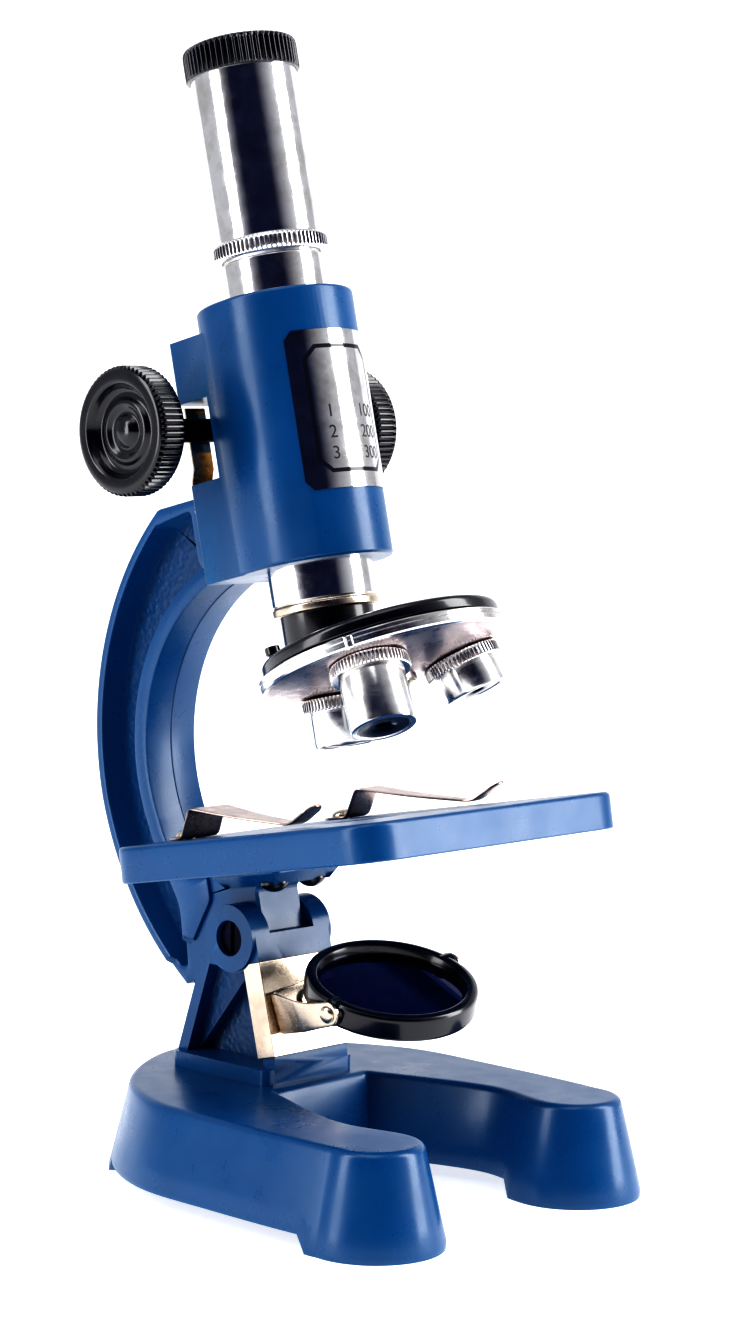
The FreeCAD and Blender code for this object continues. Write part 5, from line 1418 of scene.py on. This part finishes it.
@dataclass
class Turret:
    """The fixed black cover, the turning disc and the three objectives.

    Attributes:
        disc: radius of the disc.
        lean: angle between the disc's axis and each objective's axis.
        apex: height of the point where the objectives' axes meet.
        seat: distance from that point to each seat.
        ribs: number of ribs round each collar.
        lengths: length of each barrel below its collar.
    """

    disc: float = 23.5
    lean: float = 10.0
    apex: float = 75.2
    seat: float = 79.1
    ribs: int = 60
    lengths: dict[str, float] = field(default_factory=lambda: {"medium": 6.7, "high": 10.1, "low": 5.0})

    def seat_at(self) -> tuple[float, float]:
        """Radius and height of the middle of each objective's seat."""
        lean = math.radians(self.lean)
        return self.seat * math.sin(lean), self.apex - self.seat * math.cos(lean)

    def cone(self, radius: float) -> float:
        """Height of the disc's lower cone at a radius."""
        seat_r, seat_z = self.seat_at()
        return seat_z - (seat_r - radius) * math.tan(math.radians(self.lean))

    def cover(self, shop: Workshop, axes: Axes) -> None:
        """Make the black cover with its rolled edge, and the neck up into the tube."""
        crown = [(0.05, 3.2), (20.9, 3.2), (20.9, 1.75), (22.0, 1.75), (22.3, 2.0), (22.3, 3.6),
                 (22.0, 4.15), (21.2, 4.5), (14.0, 5.5), (8.5, 6.15), (0.05, 6.25)]
        surfaces = [turned(axes.turret, rounded(np.array(crown), 0.4, False, 5), 180)]
        for neck in ([(8.2, 49.0), (8.7, 50.5), (8.7, 58.4)], [(8.7, 58.4), (5.0, 58.4), (5.0, 50.0)]):
            surfaces.append(turned(axes.tube, neck, caps=OPEN))
        shop.build("turret_cover", surfaces, [BLACK], "tube", ("turret_body",))

    def plate(self, shop: Workshop, axes: Axes) -> None:
        """Make the dished disc with its bright rim, one click notch over each objective and the pivot screw."""
        r, cone = self.disc, self.cone
        low = cone(r)
        angle = np.arange(360) * math.tau / 360
        third = ((angle * 3 / math.tau + 0.75) % 1.0) - 0.5
        notch = np.exp(-(third * math.tau / 3 * r / 0.62) ** 8)
        p = np.array([(4.4, cone(4.4)), (8.0, cone(8.0)), (14.0, cone(14.0)), (19.0, cone(19.0)),
                      (r - 0.8, cone(r - 0.8)), (r - 0.25, low + 0.05), (r - 0.02, low + 0.35), (r, low + 0.7),
                      (r, 0.25), (r - 0.16, 0.34), (r - 0.16, 0.42), (r, 0.5), (r, 1.15), (r - 0.25, 1.4),
                      (r - 0.9, 1.4), (r - 1.0, 1.2), (r - 1.0, -0.2), (5.0, cone(5.0) + 1.0),
                      (4.4, cone(4.4) + 1.0), (4.4, cone(4.4))])
        cut = np.where((p[:, 0] > r - 0.5)[None, :], 0.75 * notch[:, None], 0.0)
        points = axes.turret.put(round_points(p[None, :, 0] - cut, angle, p[:, 1]))
        under = 5
        boss = np.array([(4.6, cone(4.6) + 0.2), (4.6, cone(0) - 0.3), (2.0, cone(0) - 0.4)])
        hub = turned(axes.turret, rounded(boss, 0.3, False), 64, caps=(False, True))
        surfaces = [Surface(points[:, :under]), Surface(points[:, under - 1:], finish=1), hub]
        shop.build("turret_plate", surfaces, [CHROME_DULL, CHROME_TURNED], "turret", ("turret_disc",), 30.0)
        shop.moulded("turret_pivot_screw", "turret_pivot", [STEEL_BRIGHT], "tube", 0.12)

    def objective(self, shop: Workshop, axes: Axes, name: str, index: int) -> None:
        """Make one objective: knurled collar, turned barrel with a groove, and front disc with its hole."""
        out, up = self.seat_at()
        seat = axes.turret.spun(120 * index).moved(y=out, z=up).leaned(self.lean)
        low = -2.5 - self.lengths[name]
        collar = [(4.8, -0.05, 0), (6.9, -0.05, 0), (7.15, -0.15, 0), (7.32, -0.4, 0.3), (7.35, -0.6, 0.42),
                  (7.35, -2.0, 0.42), (7.3, -2.25, 0.2), (7.1, -2.45, 0), (6.5, -2.5, 0), (4.8, -2.5, 0),
                  (4.8, -0.05, 0)]
        barrel = [(4.6, -2.4), (6.0, -2.4), (6.0, -2.62), (5.86, -2.7), (5.86, -2.85), (6.0, -2.95),
                  (6.0, low + 0.5), (5.85, low + 0.12), (5.6, low), (4.9, low + 0.02), (4.75, low + 0.25),
                  (4.4, low + 0.3), (4.4, -2.4), (4.6, -2.4)]
        stop = [(1.3, low + 1.2), (1.3, low + 0.75), (1.9, low + 0.32), (2.6, low + 0.2), (4.6, low + 0.16),
                (4.6, low + 1.2), (1.3, low + 1.2)]
        barrels = [turned(seat, collar, self.ribs * POINTS_PER_RIB, self.ribs, caps=OPEN),
                   turned(seat, barrel, 128, caps=OPEN)]
        shop.build("objective_barrel_" + name, barrels, [CHROME_TURNED], "turret", ("objective_" + name,), 32.0)
        shop.build("objective_front_" + name, [turned(seat, stop, caps=OPEN)], [BLACK], "turret",
                   ("objective_stop_" + name,))
        shop.paint("objective_lens_" + name, GLASS)

    def build(self, shop: Workshop, axes: Axes) -> None:
        """Make the whole turret."""
        self.cover(shop, axes)
        self.plate(shop, axes)
        for index, name in enumerate(("medium", "high", "low")):
            self.objective(shop, axes, name, index)
        shop.paint("detent_spring", STEEL)
        shop.moulded("cover_rivet", "detent_rivet", [BLACK], "tube", 0.15)


@dataclass
class Mirror:
    """The bright bracket, the fork and the round mirror.

    Attributes:
        reach: distance from the bracket to the mirror's axis.
        arm_x: inner face of the fork's arms.
        radius: outside radius of the ring.
        height: height of the ring.
        glass: radius of the glass.
    """

    reach: float = 23.4
    arm_x: float = 16.6
    radius: float = 16.0
    height: float = 4.8
    glass: float = 13.4

    def fork(self, place: Place) -> list[Surface]:
        """The fork: one strip from arm end to arm end, bent round two corners at the bracket."""
        x, y = self.arm_x + 0.35, -self.reach
        right = [(0.0, -1.0), (8.6, -1.0), (x, y + 6.0), (x, y - 2.4)]
        bends = [(-a, b) for a, b in right[:0:-1]] + right
        line = soft_line(bends, np.array([0, 4, 1.6, 0.1, 1.6, 4, 0]), 220, 12)
        depth = -line[:, 1]
        marks = [1.0, 4.0, self.reach - 3, self.reach + 0.6, self.reach + 1.7, self.reach + 2.4]
        width = np.interp(depth, marks, [7.8, 7.7, 4.8, 4.5, 3.2, 1.2])
        path = np.column_stack([line, np.zeros(len(line))])
        return [ribbon(place, path, np.array([0, 0, 1.0]), width, 0.7, around=24)]

    def ring(self, place: Place) -> list[Surface]:
        """The black ring: rounded outside, step inside, closed back, with a lug at each pivot."""
        r, h, g = self.radius, self.height / 2, self.glass
        corners = [(0.05, -h + 0.5), (r - 2.6, -h + 0.5), (r - 2.2, -h), (r - 0.3, -h), (r, -h + 0.5),
                   (r, h - 0.9), (r - 0.35, h - 0.2), (r - 1.0, h), (g + 1.0, h), (g + 0.45, h - 0.25),
                   (g + 0.2, h - 0.9), (g - 0.1, h - 1.85), (g - 0.1, h - 3.0), (0.05, h - 3.0)]
        body = turned(place, rounded(np.array(corners), 0.35, False, 5), 200)
        cross = place.along_x()
        lug = np.array([(2.5, 13.9), (2.5, 16.1), (2.2, 16.4), (0.4, 16.42)])
        lugs = [turned(cross, lug * [1, side], 48) for side in (-1, 1)]
        return [body, *lugs]

    def build(self, shop: Workshop, axes: Axes) -> None:
        """Make the bracket, fork, ring, glass and rivets."""
        shop.moulded("pillar_bracket", "mirror_bracket", [STEEL_BRIGHT], "foot", 0.18)
        shop.build("mirror_yoke", self.fork(axes.fork), [STEEL_BRIGHT], "fork", ("mirror_fork",), 40.0)
        shop.build("mirror_ring", self.ring(axes.mirror), [BLACK], "mirror", ("mirror_frame",))
        top = self.height / 2 - 1.9
        glass = soft_bar(self.glass - 0.03, top - 1.4, top, 0.25)
        # The mirror face gets the dark navy colour, a painted dark reflection.
        shop.build("mirror_face", [turned(axes.mirror, glass, 128)], [MIRROR], "mirror", ("mirror_glass",))
        pivot = axes.fork.moved(y=-self.reach).along_x()
        out = self.arm_x + 0.7
        pin = np.vstack([[(1.0, 15.0), (1.0, out), (1.55, out)], dome(1.6, out + 0.1, 0.7)])
        pins = [turned(pivot, pin * [1, side], 48) for side in (-1, 1)]
        shop.build("mirror_rivets", pins, [STEEL_BRIGHT], "fork", ("mirror_pins",))
        shop.moulded("yoke_rivet", "fork_rivet", [STEEL_BRIGHT], "foot", 0.15)


# ------------------------------------------------------------------ studio
@dataclass
class Studio:
    """Pale floor, soft boxes and the camera.

    Attributes:
        eye: camera place in the floor's axes.
        look: viewing direction.
        roll: turn about the viewing direction in degrees.
        lens: focal length for a 36 mm long side.
    """

    eye: tuple[float, float, float] = (-418.90, -432.33, 152.90)
    look: tuple[float, float, float] = (0.7159, 0.6913, -0.0977)
    roll: float = 0.85
    lens: float = 87.71

    def camera(self, axes: Axes) -> None:
        """Place the camera: its axes are right, up and minus the viewing direction."""
        look = unit(np.array(self.look))
        right = unit(np.cross(look, (0, 0, 1)))
        up = np.cross(right, look)
        c, s = math.cos(math.radians(self.roll)), math.sin(math.radians(self.roll))
        data = bpy.data.cameras.new("studio_camera")
        data.lens = self.lens
        data.sensor_width = 36.0
        data.shift_x = -0.0023
        data.shift_y = 0.0127
        data.clip_start, data.clip_end = 0.05, 20.0
        turned_axes = [c * right + s * up, c * up - s * right, -look]
        where = axes.floor.put(np.array(self.eye)) * MM
        bpy.context.scene.camera = stand("studio_camera", data, turned_axes, where)

    def box(self, name: str, azimuth: float, height: float, distance: float, size: tuple[float, float],
            power: float) -> None:
        """Add a soft box that faces the object.

        Args:
            name: its name.
            azimuth: compass angle in degrees, counted from +X towards +Y.
            height: height in metres.
            distance: distance in metres.
            size: width and height in metres.
            power: watts.
        """
        data = bpy.data.lights.new(name, "AREA")
        data.shape = "RECTANGLE"
        data.size, data.size_y = size
        data.energy = power
        a = math.radians(azimuth)
        place = np.array([math.cos(a) * distance, math.sin(a) * distance, height])
        back = unit(place - np.array([0, 0, 0.1]))
        side = unit(np.cross((0, 0, 1), back))
        stand(name, data, [side, np.cross(back, side), back], place)

    def sky(self) -> None:
        """Pale surround that darkens to navy in the quarter behind the camera, so bright metal has contrast."""
        world = bpy.data.worlds.new("studio_surround")
        bpy.context.scene.world = world
        world.use_nodes = True
        tree = world.node_tree
        tree.nodes.clear()
        out = tree.nodes.new("ShaderNodeOutputWorld")
        glow = tree.nodes.new("ShaderNodeBackground")
        space = tree.nodes.new("ShaderNodeTexCoord")
        dot = tree.nodes.new("ShaderNodeVectorMath")
        dot.operation = "DOT_PRODUCT"
        dot.inputs[1].default_value = (-0.72, -0.69, 0.0)
        ramp = tree.nodes.new("ShaderNodeValToRGB")
        fill_ramp(ramp, [(0.35, (0.95, 0.96, 1.0)), (0.62, (0.50, 0.50, 0.55)), (0.80, (0.035, 0.04, 0.10))])
        tree.links.new(space.outputs["Generated"], dot.inputs[0])
        tree.links.new(dot.outputs["Value"], ramp.inputs["Fac"])
        tree.links.new(ramp.outputs["Color"], glow.inputs["Color"])
        tree.links.new(glow.outputs["Background"], out.inputs["Surface"])
        glow.inputs["Strength"].default_value = 0.42

    def floor(self) -> None:
        """Make the floor: z = 0 near the object, rising far behind it as a quarter circle."""
        rows, columns, far = 90, 3, 1.6
        t = np.linspace(-2.5, 4.2, rows)
        bend = np.clip(t - far, 0, math.pi / 2)
        run = np.where(t < far, t, far + np.sin(bend))
        rise = np.where(t < far, 0.0, 1.0 - np.cos(bend)) + np.clip(t - far - math.pi / 2, 0, None)
        away, side = np.array(self.look[:2]), np.array([self.look[1], -self.look[0]])
        across = np.linspace(-3, 3, columns)
        flat = run[:, None, None] * away + across[None, :, None] * side
        height = np.broadcast_to(rise[:, None, None], (rows, columns, 1))
        points = np.concatenate([flat, height], axis=2).reshape(-1, 3)
        i, j = grid(rows - 1, columns - 1)
        a = i * columns + j
        mesh = bpy.data.meshes.new("studio_floor")
        quads = np.stack([a, a + 1, a + columns + 1, a + columns], axis=1)
        mesh.from_pydata(points.tolist(), [], quads.tolist())
        mesh.shade_smooth()
        n = Nodes("pale_paper")
        space = n.object_space()
        grain = n.noise(space, "Object", 900.0, 3.0)
        tone = n.ramp(grain, "Fac", [(0.3, (0.87, 0.87, 0.875)), (0.7, (0.90, 0.90, 0.905))])
        n.link(tone, "Color", n.shader, "Base Color")
        n.link(tone, "Color", n.shader, "Emission Color")
        n.shader.inputs["Emission Strength"].default_value = 0.5
        n.shader.inputs["Roughness"].default_value = 0.6
        mesh.materials.append(n.material)
        linked("studio_floor", mesh)

    def build(self, shop: Workshop, axes: Axes) -> None:
        """Set up camera, lights, surround and floor."""
        self.camera(axes)
        self.sky()
        self.floor()
        self.box("key_box", -48, 0.45, 0.95, (0.42, 1.1), 9.0)
        self.box("left_box", 158, 0.40, 1.0, (0.34, 1.1), 5.0)
        self.box("top_box", 200, 1.2, 0.5, (0.9, 0.9), 3.2)
        bpy.context.scene.view_settings.view_transform = "Standard"
        bpy.context.scene.view_settings.look = "Very High Contrast"


def main() -> None:
    """Build the microscope's pieces in order and log each one as it is made."""
    logging.basicConfig(level=logging.INFO, format="%(name)s: %(message)s")
    for name in ("Cube", "Light", "Camera"):
        if name in bpy.data.objects and name not in frame["nodes"]:
            bpy.data.objects.remove(bpy.data.objects[name])
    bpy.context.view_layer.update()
    shop, axes = Workshop(), Axes()
    for part in (Foot(), Pillar(), Mirror(), Arm(), Stage(), Sleeve(), Drive(), Tube(), Eyepiece(), Turret(),
                 Studio()):
        part.build(shop, axes)
        LOG.info("%s done", type(part).__name__)


if __name__ == "__main__":
    main()
